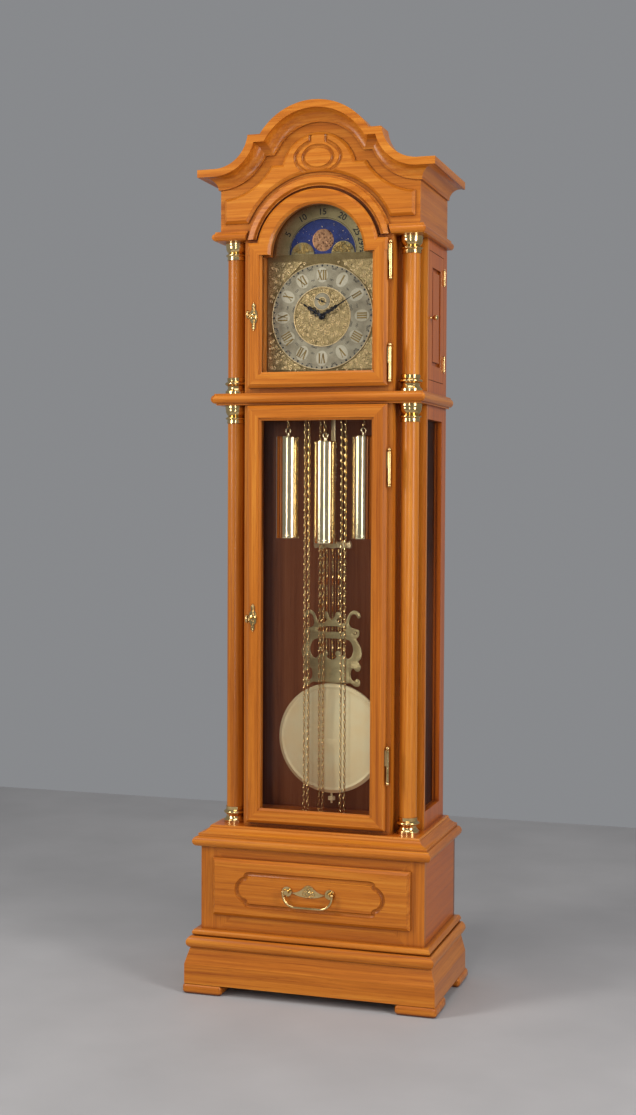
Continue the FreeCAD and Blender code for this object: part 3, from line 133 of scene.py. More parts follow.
def wood(name, tones, along="z", rails=None, sides=None, shift=0.0):
    """Satin lacquered wood, darkened in hollows and grooves by painted shade and some pooled stain. along is
    the axis of the grain.
    rails is (middle height, offset) of a mitred frame whose top and bottom members run sideways. sides is the
    X plus Y past which a moulding runs back. shift picks another part of the same log."""
    made = Finish(name)
    x, y, z = made.node("ShaderNodeSeparateXYZ", {0: made.place}).outputs[:3]

    def ordered(*axes):
        return made.node("ShaderNodeCombineXYZ", dict(enumerate(axes))).outputs[0]

    lengthwise = {"x": ordered(z, y, x), "y": ordered(x, z, y), "z": made.place}
    grain = lengthwise[along]
    if rails is not None:
        rise = made.maths("ABSOLUTE", made.maths("SUBTRACT", z, rails[0]))
        past = made.maths("SUBTRACT", rise, made.maths("ABSOLUTE", x))
        grain = made.node("ShaderNodeMix", {0: made.maths("GREATER_THAN", past, rails[1]), 4: made.place,
                                            5: lengthwise["x"]}, data_type="VECTOR").outputs[1]
    if sides is not None:
        past = made.maths("ADD", made.maths("ABSOLUTE", x), y)
        grain = made.node("ShaderNodeMix", {0: made.maths("GREATER_THAN", past, sides), 4: lengthwise["x"],
                                            5: lengthwise["y"]}, data_type="VECTOR").outputs[1]
    grain = made.scaled(grain, (1, 1, 1), (shift, shift * 0.7, shift * 1.3))
    drift = made.noise(made.scaled(grain, (5, 5, 1.2)), 1.0, 2.0)
    sway = made.scaled(ordered(drift, drift, drift), (0.03, 0.03, 0.0))
    wavy = made.node("ShaderNodeVectorMath", {0: grain, 1: sway}, operation="ADD").outputs[0]
    figure = made.noise(made.scaled(wavy, (62, 62, 1.1)), 1.0, 4.0, 0.55, 0.3)
    streak = made.noise(made.scaled(wavy, (240, 240, 3.6)), 1.0, 3.0, 0.6)
    pores = made.noise(made.scaled(wavy, (900, 900, 22)), 1.0, 2.0, 0.5)
    board = made.noise(made.scaled(grain, (2.3, 2.3, 0.8), (3, 1, 2)), 1.0, 1.0)
    tone = made.maths("ADD", made.maths("MULTIPLY", figure, 0.44), made.maths("MULTIPLY", streak, 0.34))
    tone = made.maths("ADD", tone, made.maths("MULTIPLY", board, 0.22))
    dark, middle, light = tones
    colour = made.ramp(tone, [(0.32, dark), (0.50, middle), (0.70, light)])
    pore = made.ramp(pores, [(0.30, (0.55, 0.42, 0.34)), (0.40, (1, 1, 1))])
    colour = made.mixed(0.55, colour, pore, "MULTIPLY")
    # Painted shade: ambient occlusion pulls the colour towards a dark red-brown in hollows and grooves,
    # standing in for their shade along with some stain pooled there.
    open_sky = made.node("ShaderNodeAmbientOcclusion", {"Distance": NOOK_SHADE_REACH}, samples=6).outputs["AO"]
    shade_and_stain_mask = made.ramp(open_sky, [(0.25, (1, 1, 1)), (0.82, (0, 0, 0))])
    colour = made.mixed(shade_and_stain_mask, colour, NOOK_SHADE_AND_STAIN_TINT)
    made.bump(made.maths("ADD", made.maths("MULTIPLY", streak, 0.5), pores), 0.10, 0.0003)
    rough = made.maths("MULTIPLY_ADD", streak, 0.14, 0.24)
    return made.set(Base_Color=colour, Roughness=rough, Coat_Weight=0.10, Coat_Roughness=0.10, IOR=1.35)


def metal(name, colour, dull, rough, spread=0.10, scale=160.0, stretch=(1, 1, 1), depth=0.00004, body=1.0):
    """Lacquered or plated metal with soft mottling and fine brushing. body is how metallic it looks."""
    made = Finish(name)
    cloud = made.noise(made.place, 26.0, 3.0)
    fine = made.noise(made.scaled(made.place, stretch), scale, 4.0, 0.6)
    mix = made.maths("ADD", made.maths("MULTIPLY", cloud, 0.6), made.maths("MULTIPLY", fine, 0.4))
    made.bump(fine, 0.25, depth)
    return made.set(Base_Color=made.ramp(mix, [(0.34, dull), (0.62, colour)]), Metallic=body,
                    Roughness=made.maths("MULTIPLY_ADD", fine, spread, rough - spread / 2))


def turned_metal(name, colour, dull, centre, rough, body):
    """Sheet metal brushed in circles about a centre (across, up), in millimetres."""
    made = Finish(name)
    x, _, z = made.node("ShaderNodeSeparateXYZ", {0: made.place}).outputs[:3]
    flat = made.node("ShaderNodeCombineXYZ", {0: made.maths("SUBTRACT", x, centre[0] * MM),
                                              1: made.maths("SUBTRACT", z, centre[1] * MM)}).outputs[0]
    radius = made.node("ShaderNodeVectorMath", {0: flat}, operation="LENGTH").outputs["Value"]
    stretched = made.node("ShaderNodeCombineXYZ", {0: made.maths("MULTIPLY", radius, 900)}).outputs[0]
    rings = made.noise(stretched, 1.0, 3.0)
    cloud = made.noise(made.place, 30.0, 3.0)
    mix = made.maths("ADD", made.maths("MULTIPLY", rings, 0.35), made.maths("MULTIPLY", cloud, 0.65))
    made.bump(rings, 0.2, 0.00004)
    return made.set(Base_Color=made.ramp(mix, [(0.38, dull), (0.60, colour)]), Metallic=body,
                    Roughness=made.maths("MULTIPLY_ADD", rings, 0.12, rough - 0.06))


def stippled(name, high, low, scale, rough=0.32):
    """Cast metal with a punched ground: dark between the grains."""
    made = Finish(name)
    cells = made.node("ShaderNodeTexVoronoi", {"Vector": made.place, "Scale": scale}).outputs["Distance"]
    cloud = made.noise(made.place, scale * 0.2, 2.0)
    grain = made.maths("ADD", made.maths("MULTIPLY", cells, 0.8), made.maths("MULTIPLY", cloud, 0.5))
    made.bump(cells, 0.6, 0.0006)
    return made.set(Base_Color=made.ramp(grain, [(0.35, low), (0.72, high)]), Metallic=1.0,
                    Roughness=made.maths("MULTIPLY_ADD", cloud, 0.2, rough - 0.1))


def paint(name, colour, other, rough, scale=90.0):
    """Enamel or lacquer with a slight mottle."""
    made = Finish(name)
    cloud = made.noise(made.place, scale, 3.0)
    made.bump(made.noise(made.place, scale * 9, 2.0), 0.05, 0.0002)
    return made.set(Base_Color=made.ramp(cloud, [(0.35, colour), (0.65, other)]),
                    Roughness=made.maths("MULTIPLY_ADD", cloud, 0.1, rough - 0.05))


def pane(name):
    """Thin clear glass with the faintest waviness."""
    made = Finish(name)
    made.bump(made.noise(made.place, 5.0, 1.0), 0.04, 0.001)
    return made.set(Base_Color=(0.02, 0.02, 0.02, 1), Roughness=0.02, Alpha=0.07, IOR=1.5)


DIAL = (0, 1656)
BOB = (0, 617)

HONEY = ((0.27, 0.062, 0.005), (0.49, 0.145, 0.011), (0.68, 0.262, 0.030))
# The honey wood made darker and redder as painted shade, for boards that face sideways or sit inside the
# drawer.
SHADED_HONEY = ((0.27, 0.052, 0.004), (0.44, 0.100, 0.007), (0.57, 0.160, 0.013))
UMBER = ((0.125, 0.033, 0.011), (0.19, 0.058, 0.020), (0.26, 0.090, 0.034))

brass = metal("polished_brass", (0.86, 0.64, 0.30), (0.60, 0.40, 0.15), 0.15)
satin_brass = metal("satin_brass", (0.82, 0.66, 0.38), (0.66, 0.50, 0.26), 0.30, 0.12, 220.0, (1, 1, 0.08))
antique = metal("antique_brass", (0.62, 0.44, 0.16), (0.36, 0.24, 0.08), 0.30)
gold_leaf = metal("gold_relief", (1.0, 0.80, 0.45), (0.90, 0.68, 0.34), 0.28, body=0.5)
silvered = turned_metal("silvered_ring", (0.52, 0.47, 0.33), (0.30, 0.26, 0.17), DIAL, 0.30, 0.5)
pale_silver = turned_metal("pale_silver", (0.66, 0.61, 0.45), (0.54, 0.49, 0.34), DIAL, 0.34, 0.45)
bob_brass = turned_metal("bob_brass", (1.0, 0.90, 0.54), (1.0, 0.84, 0.46), BOB, 0.50, 0.10)
weight_brass = metal("weight_brass", (0.97, 0.83, 0.53), (0.90, 0.74, 0.43), 0.16, 0.05, depth=0.000004)
numeral_brass = metal("numeral_brass", (0.46, 0.32, 0.11), (0.30, 0.20, 0.07), 0.34)
lyre_brass = metal("lyre_brass", (0.62, 0.50, 0.25), (0.46, 0.36, 0.17), 0.34)
punched = stippled("punched_gilt", (0.52, 0.39, 0.18), (0.10, 0.065, 0.025), 460.0)
dial_gilt = metal("dial_gilt", (0.36, 0.27, 0.12), (0.24, 0.17, 0.07), 0.34, 0.12, 300.0)
moon_band = metal("moon_band_gilt", (0.46, 0.38, 0.19), (0.32, 0.26, 0.12), 0.36, 0.12, 240.0)
bronze = stippled("moon_bronze", (0.46, 0.25, 0.13), (0.09, 0.035, 0.022), 190.0, 0.40)
night = paint("night_blue", (0.010, 0.022, 0.135), (0.016, 0.036, 0.20), 0.35)
black = paint("black_enamel", (0.009, 0.009, 0.010), (0.020, 0.020, 0.022), 0.30, 200.0)
blued = metal("blackened_steel", (0.035, 0.036, 0.042), (0.012, 0.012, 0.015), 0.30)
steel = metal("steel_rods", (0.62, 0.62, 0.62), (0.42, 0.42, 0.43), 0.24, 0.1, 300.0, (1, 1, 0.05))
glass = pane("clear_glass")
upright = wood("wood_upright", HONEY)
crosswise = wood("wood_crosswise", HONEY, "x", shift=0.31)
inside_wood = wood("wood_inside", UMBER, shift=1.7)
# Side boards take the darker palette as painted shade.
side_wood = wood("wood_side", SHADED_HONEY, shift=2.2)
moulding = wood("wood_moulding", HONEY, sides=0.14, shift=0.83)

FINISHES = {
    "feet": crosswise, "plinth_boards": wood("wood_plinth", HONEY, sides=0.14, shift=0.52),
    "plinth_mouldings": moulding, "base_boards": wood("wood_base_side", SHADED_HONEY, "y", shift=0.7),
    "base_front_frame": wood("wood_base_frame", HONEY, rails=(0.2525, -0.1415), shift=0.4),
    "base_top_moulding": moulding, "back_panel": inside_wood, "corner_posts": upright,
    "side_frames": side_wood, "columns": wood("wood_columns", HONEY, shift=0.95), "column_brasses": brass,
    "mid_moulding": moulding, "front_rails": crosswise, "upper_moulding": moulding,
    "frieze_boards": wood("wood_frieze", HONEY, sides=0.155, shift=0.31),
    "crown_moulding": wood("wood_crown", HONEY, sides=0.1465, shift=1.13), "hinge_pins": brass,
    "dial_plate": dial_gilt, "chapter_rings": silvered, "dial_castings": punched, "moon_arch": moon_band,
    "seatboard": inside_wood, "movement_frame": satin_brass, "chime_rods": steel, "side_glass": glass,
    "drawer_box": wood("wood_drawer_box", SHADED_HONEY, "y", shift=1.4), "drawer_pull_plate": brass,
    "drawer_bail": brass,
    "trunk_door_frame": wood("wood_trunk_door", HONEY, rails=(0.931, 0.334), shift=0.61),
    "hood_door_frame": wood("wood_hood_door", HONEY, rails=(1.6585, -0.0015), shift=0.27),
    "trunk_door_glass": glass, "hood_door_glass": glass, "trunk_door_brasses": brass,
    "hood_door_brasses": brass, "trunk_key": brass, "hood_key": brass, "right_side_door": side_wood,
    "left_side_door": side_wood,
    "moon_disc": night, "pendulum_bob": bob_brass, "anchor": satin_brass,
    "left_sprocket": brass, "middle_sprocket": brass, "right_sprocket": brass,
    "left_weight": weight_brass, "middle_weight": weight_brass, "right_weight": weight_brass,
}


def smooth(mesh, angle):
    """Shades a mesh smooth except at edges sharper than the angle."""
    mesh.shade_smooth()
    work = bmesh.new()
    work.from_mesh(mesh)
    for edge in work.edges:
        edge.smooth = len(edge.link_faces) == 2 and edge.calc_face_angle(0) < math.radians(angle)
    work.to_mesh(mesh)
    work.free()


for node_name, finish in FINISHES.items():
    data = NODES[node_name].data
    data.materials.clear()
    data.materials.append(finish)


# ---- Shapes ----

def meshed(curve):
    """The points and the faces of a filled curve or a text, which is used up."""
    holder = bpy.data.objects.new(curve.name, curve)
    bpy.context.scene.collection.objects.link(holder)
    bpy.context.view_layer.update()
    flat = bpy.data.meshes.new_from_object(holder.evaluated_get(bpy.context.evaluated_depsgraph_get()))
    points, faces = [v.co.copy() for v in flat.vertices], [tuple(p.vertices) for p in flat.polygons]
    bpy.data.objects.remove(holder)
    bpy.data.meshes.remove(flat)
    return points, faces


class Shape:
    """Vertices and faces gathered from many small forms, then made into one piece."""

    def __init__(self):
        self.points = []
        self.faces = []

    def add(self, points, faces, matrix=None):
        """Adds points, moved by a matrix, and the faces between them."""
        first = len(self.points)
        self.points += [matrix @ Vector(p) if matrix else Vector(p) for p in points]
        self.faces += [tuple(first + index for index in face) for face in faces]
        return self

    def join(self, other, matrix):
        """Adds a copy of another shape, moved by a matrix."""
        return self.add(other.points, other.faces, matrix)

    def grid(self, rows, closed=True, capped=True, matrix=None):
        """Joins rows of points, each row a loop, into a skin."""
        wide = len(rows[0])
        points = [p for row in rows for p in row]
        faces = []
        for r in range(len(rows) - 1):
            for c in range(wide if closed else wide - 1):
                d = (c + 1) % wide
                faces.append((r * wide + c, r * wide + d, (r + 1) * wide + d, (r + 1) * wide + c))
        if capped and closed:
            faces.append(tuple(reversed(range(wide))))
            faces.append(tuple(range((len(rows) - 1) * wide, len(rows) * wide)))
        return self.add(points, faces, matrix)

    def tube(self, path, radius, sides=8, closed=False):
        """A round bar along a path. radius is a number or one number for each point."""
        path = [Vector(p) for p in path]
        count = len(path)
        radii = radius if isinstance(radius, (list, tuple)) else [radius] * count
        rows = []
        normal = None
        for i, point in enumerate(path):
            ahead = path[(i + 1) % count] if closed else path[min(i + 1, count - 1)]
            behind = path[i - 1] if closed else path[max(i - 1, 0)]
            tangent = (ahead - behind).normalized()
            if normal is None:
                other = Vector((0, 1, 0)) if abs(tangent.y) < 0.9 else Vector((1, 0, 0))
                normal = tangent.cross(other).normalized()
            normal = (normal - tangent * normal.dot(tangent)).normalized()
            across = tangent.cross(normal)
            rows.append([point + (normal * math.cos(a) + across * math.sin(a)) * radii[i]
                         for a in (math.tau * k / sides for k in range(sides))])
        if closed:
            rows.append(rows[0])
        return self.grid(rows, capped=not closed)

    def lathe(self, profile, centre, along="z", sides=32):
        """Turns a profile of (radius, distance along the axis) about an axis through centre."""
        turn = {"z": Matrix(), "y": Matrix.Rotation(math.radians(90), 4, "X"),
                "x": Matrix.Rotation(math.radians(90), 4, "Y")}[along]
        rows = [[(max(r, 0.01) * math.cos(a), max(r, 0.01) * math.sin(a), h)
                 for a in (math.tau * k / sides for k in range(sides))] for r, h in profile]
        return self.grid(rows, matrix=Matrix.Translation(centre) @ turn)

    def plate(self, outline, front, back, holes=(), bevel=0.0, steps=1):
        """A flat plate facing the front, between two depths, from (x, z) outlines."""
        curve = bpy.data.curves.new("plate", "CURVE")
        curve.dimensions = "2D"
        curve.fill_mode = "BOTH"
        curve.extrude = (back - front) / 2 - bevel
        curve.bevel_depth = bevel
        curve.bevel_resolution = steps
        curve.offset = -bevel
        for loop in (outline, *holes):
            spline = curve.splines.new("POLY")
            spline.points.add(len(loop) - 1)
            for point, (x, z) in zip(spline.points, loop):
                point.co = (x, z, 0, 1)
            spline.use_cyclic_u = True
        points, faces = meshed(curve)
        middle = (front + back) / 2
        return self.add([(p.x, middle - p.z, p.y) for p in points], faces)

    def piece(self, name, finish, body, slot, replaces=(), angle=35):
        """Makes the piece, in metres, on its body. A chain has no body here: hang() places it."""
        mesh = bpy.data.meshes.new(name)
        mesh.from_pydata([p * MM for p in self.points], [], self.faces)
        work = bmesh.new()
        work.from_mesh(mesh)
        bmesh.ops.remove_doubles(work, verts=work.verts, dist=1e-6)
        bmesh.ops.recalc_face_normals(work, faces=work.faces)
        work.to_mesh(mesh)
        work.free()
        smooth(mesh, angle)
        mesh.materials.append(finish)
        made = bpy.data.objects.new(name, mesh)
        bpy.context.scene.collection.objects.link(made)
        if body:
            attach(made, body)
        if replaces:
            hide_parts(*replaces)
        return made


def mirror(line):
    """The same flat line on the other side of the middle."""
    return [(-x, z) for x, z in line]


def polar(centre, radius, angle):
    """A point on the dial, its angle clockwise from twelve."""
    turn = math.radians(angle)
    return centre[0] + radius * math.sin(turn), centre[1] + radius * math.cos(turn)


def circle(centre, radius, count):
    """Points round a flat circle."""
    return [polar(centre, radius, 360 * k / count) for k in range(count)]


def flowing(points, steps=6, closed=True):
    """A smooth line through points (Catmull-Rom)."""
    count = len(points)
    line = []
    for i in range(count if closed else count - 1):
        a, b, c, d = (Vector(points[j % count] if closed else points[min(max(j, 0), count - 1)])
                      for j in (i - 1, i, i + 1, i + 2))
        for k in range(steps):
            t = k / steps
            line.append(0.5 * (2 * b + (c - a) * t + (2 * a - 5 * b + 4 * c - d) * t * t
                               + (3 * b - a - 3 * c + d) * t * t * t))
    if not closed:
        line.append(Vector(points[-1]))
    return line


def scroll(start, heading, length, curl, steps=14):
    """A flat spiral: it starts at a point in a heading and curls ever tighter."""
    x, z = start
    turn = math.radians(heading)
    line = [(x, z)]
    for k in range(steps):
        turn += math.radians(curl) * (0.35 + 1.5 * k / steps) / steps
        x += math.sin(turn) * length / steps
        z += math.cos(turn) * length / steps
        line.append((x, z))
    return line


def relief(shape, line, y, width, taper=0.35, sides=6):
    """A raised rib along a flat line, thinner towards its end."""
    count = len(line)
    shape.tube([(x, y, z) for x, z in line],
               [width / 2 * (1 - (1 - taper) * k / (count - 1)) for k in range(count)], sides)


# ---- Dial ----

SECONDS = (0, 1693)
MOON = (0, 1808)
FACE = -74.0
MOON_PITCH, MOON_RADIUS, MOON_FACE = 33, 27, -68.25
HUMP_X, HUMP_RADIUS = 51, 27


def stroke(shape, a, b, width, place):
    """One bar of a numeral, from a to b, both (across, up). place turns it into the dial's X and Z."""
    (ax, az), (bx, bz) = a, b
    lean = Vector((bx - ax, bz - az)).normalized()
    side = Vector((lean.y, -lean.x)) * width / 2
    corners = [place(p) for p in (Vector(a) - side, Vector(a) + side, Vector(b) + side, Vector(b) - side)]
    shape.grid([[(x, y, z) for x, z in corners] for y in (FACE + 0.2, FACE - 0.9)])


def numerals():
    """Applied numerals, upright towards the edge, on pale ovals."""
    figures, ovals = Shape(), Shape()
    tall, radius = 23.0, 100.5
    thick, thin, serif = 3.0, 1.3, 1.2
    low, high = -tall / 2, tall / 2
    names = ["XII", "I", "II", "III", "IIII", "V", "VI", "VII", "VIII", "IX", "X", "XI"]
    widths = {"I": 5.6, "V": 12.4, "X": 12.4}
    for hour, name in enumerate(names):
        angle = math.radians(30 * hour)
        out, right = Vector((math.sin(angle), math.cos(angle))), Vector((math.cos(angle), -math.sin(angle)))
        middle = Vector(DIAL) + out * radius

        def place(p):
            return tuple(middle + right * p[0] + out * p[1])

        across = -sum(widths[letter] for letter in name) / 2
        for letter in name:
            centre = across + widths[letter] / 2
            if letter == "I":
                bars = [(0, low, 0, high, thick)] + [(-2.3, end, 2.3, end, serif) for end in (low, high)]
            elif letter == "V":
                bars = [(0, low, -4, high, thick), (0, low, 4, high, thin), (-6, high, -2, high, serif),
                        (2.4, high, 5.6, high, serif)]
            else:
                bars = [(4, low, -4, high, thick), (-4, low, 4, high, thin)]
                for end in (low, high):
                    bars += [(-5.8, end, -2.2, end, serif), (2.2, end, 5.8, end, serif)]
            for ax, az, bx, bz, width in bars:
                stroke(figures, (centre + ax, az), (centre + bx, bz), width, place)
            across += widths[letter]
        turns = (math.tau * k / 40 for k in range(40))
        oval = [place((14.5 * math.cos(t), 18.5 * math.sin(t))) for t in turns]
        ovals.plate(oval, FACE - 0.25, FACE + 0.2)
    figures.piece("hour_numerals", numeral_brass, "case", "brass")
    ovals.piece("numeral_ovals", pale_silver, "case", "silvered")


def dial_marks():
    """Domed minute dots, the seconds track and the rims of both rings."""
    dots = Shape()
    for minute in range(60):
        x, z = polar(DIAL, 123.0, 6 * minute)
        size = 2.7 if minute % 5 == 0 else 2.0
        dots.lathe([(size, -0.2), (size, 0.3), (size * 0.6, 0.8), (0, 0.95)], (x, FACE, z), "y", 10)
    for tick in range(60):
        inner = 17.6 if tick % 5 == 0 else 18.8
        ends = [polar(SECONDS, reach, 6 * tick) for reach in (inner, 20.2)]
        dots.tube([(x, FACE - 0.1, z) for x, z in ends], 0.32, 4)
    dots.piece("minute_dots", black, "case", "blackened_steel")
    rims = Shape()
    for centre, radius, width in ((DIAL, 127.2, 0.8), (DIAL, 71.2, 1.1), (SECONDS, 20.9, 0.9),
                                  (SECONDS, 9.4, 0.9)):
        rims.tube([(x, FACE - 0.2, z) for x, z in circle(centre, radius, 96)], width, 6, closed=True)
    rims.piece("ring_rims", gold_leaf, "case", "brass")


def arabesques():
    """Fine dark scrolls engraved between the ovals of the hour ring."""
    lines = Shape()
    for hour in range(12):
        angle = 30 * hour + 15
        for side in (1, -1):
            for reach, heading, length, curl in ((75, 20, 15, 300), (75, 60, 13, 320), (88, 15, 12, -300),
                                                 (118, 150, 14, -310), (118, 110, 12, -330)):
                path = scroll(polar(DIAL, reach, angle), angle + side * heading, length, side * curl, 12)
                relief(lines, path, FACE, 1.0, 0.5, 4)
    lines.piece("ring_arabesques", black, "case", "blackened_steel")


def dial_reveal():
    """The wooden lining between the hood's front and the dial, open below."""
    foot, spring, half_outside, half_inside = 1512, 1803, 149.5, 141
    front, back = -101, -72

    def arch(radius):
        climb = (math.pi * k / 32 for k in range(33))
        return [(radius * math.cos(a), spring + radius * math.sin(a)) for a in climb]

    outer = [(half_outside, foot), (half_outside, 1790)]
    outer += [(max(-half_outside, min(half_outside, x)), z) for x, z in arch(157.5)]
    outer += [(-half_outside, 1790), (-half_outside, foot)]
    inner = [(half_inside, foot), (half_inside, spring)] + arch(127)
    inner += [(-half_inside, spring), (-half_inside, foot)]
    made = Shape()
    made.grid([[(x, y, z) for x, z in path]
               for path, y in ((outer, back), (outer, front), (inner, front), (inner, back))],
              closed=False, capped=False)
    made.piece("dial_reveal", upright, "case", "wood")


def foliage(name, spots, inside, width, chance, finish=gold_leaf):
    """Dense cast scrollwork: short spirals from many spots, kept to where inside is true."""
    y = FACE + 0.5
    made = Shape()
    for x, z, heading, length in spots:
        curl = chance.choice((-1, 1)) * chance.uniform(230, 340)
        line = [p for p in scroll((x, z), heading, length, curl, 12) if inside(p)]
        if len(line) > 4:
            relief(made, line, y, width, 0.4)
            x, z = line[-1]
            made.lathe([(width * 0.62, -0.2), (width * 0.5, 0.6), (0, 0.9)], (x, y + 0.1, z), "y", 7)
    made.piece(name, finish, "case", "gilt")


def castings():
    """Foliage: a wheel of scrolls in the dial's middle, a spray in each corner, and the moon's two humps."""
    chance = random.Random(11)
    spots = []
    for ring, count, length in ((20, 12, 22), (33, 18, 22), (46, 24, 20), (58, 30, 17)):
        for k in range(count):
            angle = 360 * (k + 0.5 * (ring % 2)) / count
            spots.append((*polar(DIAL, ring, angle), angle + chance.choice((-70, 70)), length))
    foliage("dial_centre_foliage", spots, lambda p: math.dist(p, SECONDS) > 23 and math.dist(p, DIAL) < 68,
            2.1, chance)
    spots = []
    for sx in (1, -1):
        for sz in (1, -1):
            for reach in range(134, 190, 9):
                for turn in range(-34, 35, 7):
                    angle = math.radians(45 + turn)
                    x, z = reach * math.sin(angle), reach * math.cos(angle)
                    if x < 133 and z < 131:
                        spots.append((sx * x, DIAL[1] + sz * z, chance.uniform(0, 360), 15))
    foliage("corner_foliage", spots, lambda p: math.dist(p, DIAL) > 131 and abs(p[0]) < 134.5
            and abs(p[1] - DIAL[1]) < 132.5, 2.3, chance)
    spots = [(side * HUMP_X + chance.uniform(-26, 26), MOON[1] + chance.uniform(2, 27),
              chance.uniform(0, 360), 12) for side in (1, -1) for _ in range(70)]
    foliage("moon_hump_relief", spots, lambda p: math.dist((abs(p[0]), p[1]), (HUMP_X, MOON[1])) < HUMP_RADIUS
            and p[1] > MOON[1] + 1.5, 1.9, chance, antique)


def moon_numbers():
    """The age of the moon in days round the arch, with a tick for each day."""
    marks = Shape()
    for day in range(30):
        angle = -87 + 6 * day
        long = 5 if day % 5 == 0 else 3
        ends = [polar(MOON, reach, angle) for reach in (117 - long, 116.5)]
        marks.tube([(x, FACE + 0.45, z) for x, z in ends], 0.45, 4)
    marks.tube([(x, FACE + 0.5, z) for x, z in (polar(MOON, 86.5, -88 + 4 * k) for k in range(45))], 0.5, 4)
    for label, day in (("5", 5), ("10", 10), ("15", 15), ("20", 20), ("25", 25), ("29½", 29)):
        text = bpy.data.curves.new("day", "FONT")
        text.body = label
        text.size = 21
        text.align_x, text.align_y = "CENTER", "CENTER"
        text.extrude = 0.4
        text.offset = 0.35
        angle = -90 + 6 * day if day < 29 else 80
        x, z = polar(MOON, 100, angle)
        stand = (Matrix.Translation((x, FACE + 0.4, z)) @ Matrix.Rotation(math.radians(angle), 4, "Y")
                 @ Matrix.Rotation(math.radians(90), 4, "X"))
        marks.add(*meshed(text), stand)
    marks.piece("moon_day_figures", black, "case", "blackened_steel")


def moon_faces():
    """Two plain cratered moons and a scatter of stars on the turning disc."""
    chance = random.Random(7)
    moons = Shape()
    for side in (1, -1):
        middle = MOON[1] + side * MOON_PITCH
        craters = [(chance.uniform(-19, 19), chance.uniform(-19, 19), chance.uniform(3, 7))
                   for _ in range(16)]
        rows = []
        for r in range(13):
            radius = MOON_RADIUS * r / 12
            row = []
            for k in range(48):
                a = math.tau * k / 48
                x, z = radius * math.cos(a), radius * math.sin(a)
                high = 0.6 * math.sqrt(1 - (radius / (MOON_RADIUS + 0.2)) ** 2)
                for px, pz, size in craters:
                    d = math.hypot(x - px, z - pz) / size
                    if d < 1:
                        high -= 0.4 * (1 - d * d) * min(1, (MOON_RADIUS - radius) / 6)
                row.append((x, MOON_FACE - max(high, 0), middle + z))
            rows.append(row)
        moons.grid(rows, capped=False)
    moons.piece("moon_domes", bronze, "moon", "gilt", angle=60)
    stars = Shape()
    for _ in range(90):
        radius, angle = chance.uniform(20, 84), chance.uniform(0, 360)
        x, z = polar(MOON, radius, angle)
        if min(math.dist((x, z), (0, MOON[1] + side * MOON_PITCH)) for side in (1, -1)) < MOON_RADIUS + 3:
            continue
        size = chance.choice((0.7, 1.0, 1.0, 1.7))
        tips = [polar((x, z), size * (1 if k % 2 else 0.42), 36 * k) for k in range(10)]
        stars.plate(tips, MOON_FACE - 0.25, MOON_FACE + 0.15)
    stars.piece("moon_stars", gold_leaf, "moon", "gilt")


def clock_turn(centre, y, angle):
    """Places a hand that is drawn pointing at twelve, with its arbor at the origin."""
    return Matrix.Translation((centre[0], y, centre[1])) @ Matrix.Rotation(math.radians(angle), 4, "Y")


def laced_hand(angle, length, hub, lace, front):
    """A pierced hand: two mirrored wavy bars cross into open loops, and a blade carries on to the tip.
    lace is where the loops start and end along the hand, how far they swell and how many there are."""
    turn = clock_turn(DIAL, front, angle)
    made = Shape()

    def bar(line, width, lift=0.0):
        """A flattened round bar along a line, its width a number or one number for each point."""
        level = 0.55 + lift
        radius = [1.25 * w for w in width] if isinstance(width, list) else 1.25 * width
        part = Shape().tube([(x, level, z) for x, z in line], radius, 6)
        made.add([(p.x, (p.y - level) * 0.45 + level, p.z) for p in part.points], part.faces, turn)

    start, end, swell, loops = lace
    for side in (1, -1):
        wave = []
        for k in range(49):
            t = k / 48
            reach = start + (end - start) * t
            wide = swell * math.sin(math.pi * min(1, 0.12 + t)) ** 0.8
            wave.append((side * wide * math.sin(math.pi * loops * t + 0.3), reach))
        bar(wave, 1.0, 0.05 * side)
        for k in range(int(loops * 2)):
            t = (k + 0.5) / (loops * 2)
            reach = start + (end - start) * t
            wide = swell * math.sin(math.pi * min(1, 0.12 + t))
            bar(scroll((side * wide * 0.35, reach), side * 60, wide * 1.5, -side * 320, 10), 0.6, -0.1)
    bar([(0, hub * 0.6), (0, (start + end) / 2), (0, end)], [1.6, 1.1, 0.9])
    rise = flowing([(-1.1, end - 2), (-2.6, end + 4), (-0.9, end + 8)], 4, False)[:-1]
    fall = flowing([(0.9, end + 8), (2.6, end + 4), (1.1, end - 2)], 4, False)
    made.join(Shape().plate([*rise, (0, length), *fall], 0.05, 1.05), turn)
    boss = [(hub, 0), (hub, 0.6), (hub * 0.7, 1.1), (hub * 0.4, 1.2)]
    return made.join(Shape().lathe(boss, (0, 1.1, 0), "y", 24), turn)


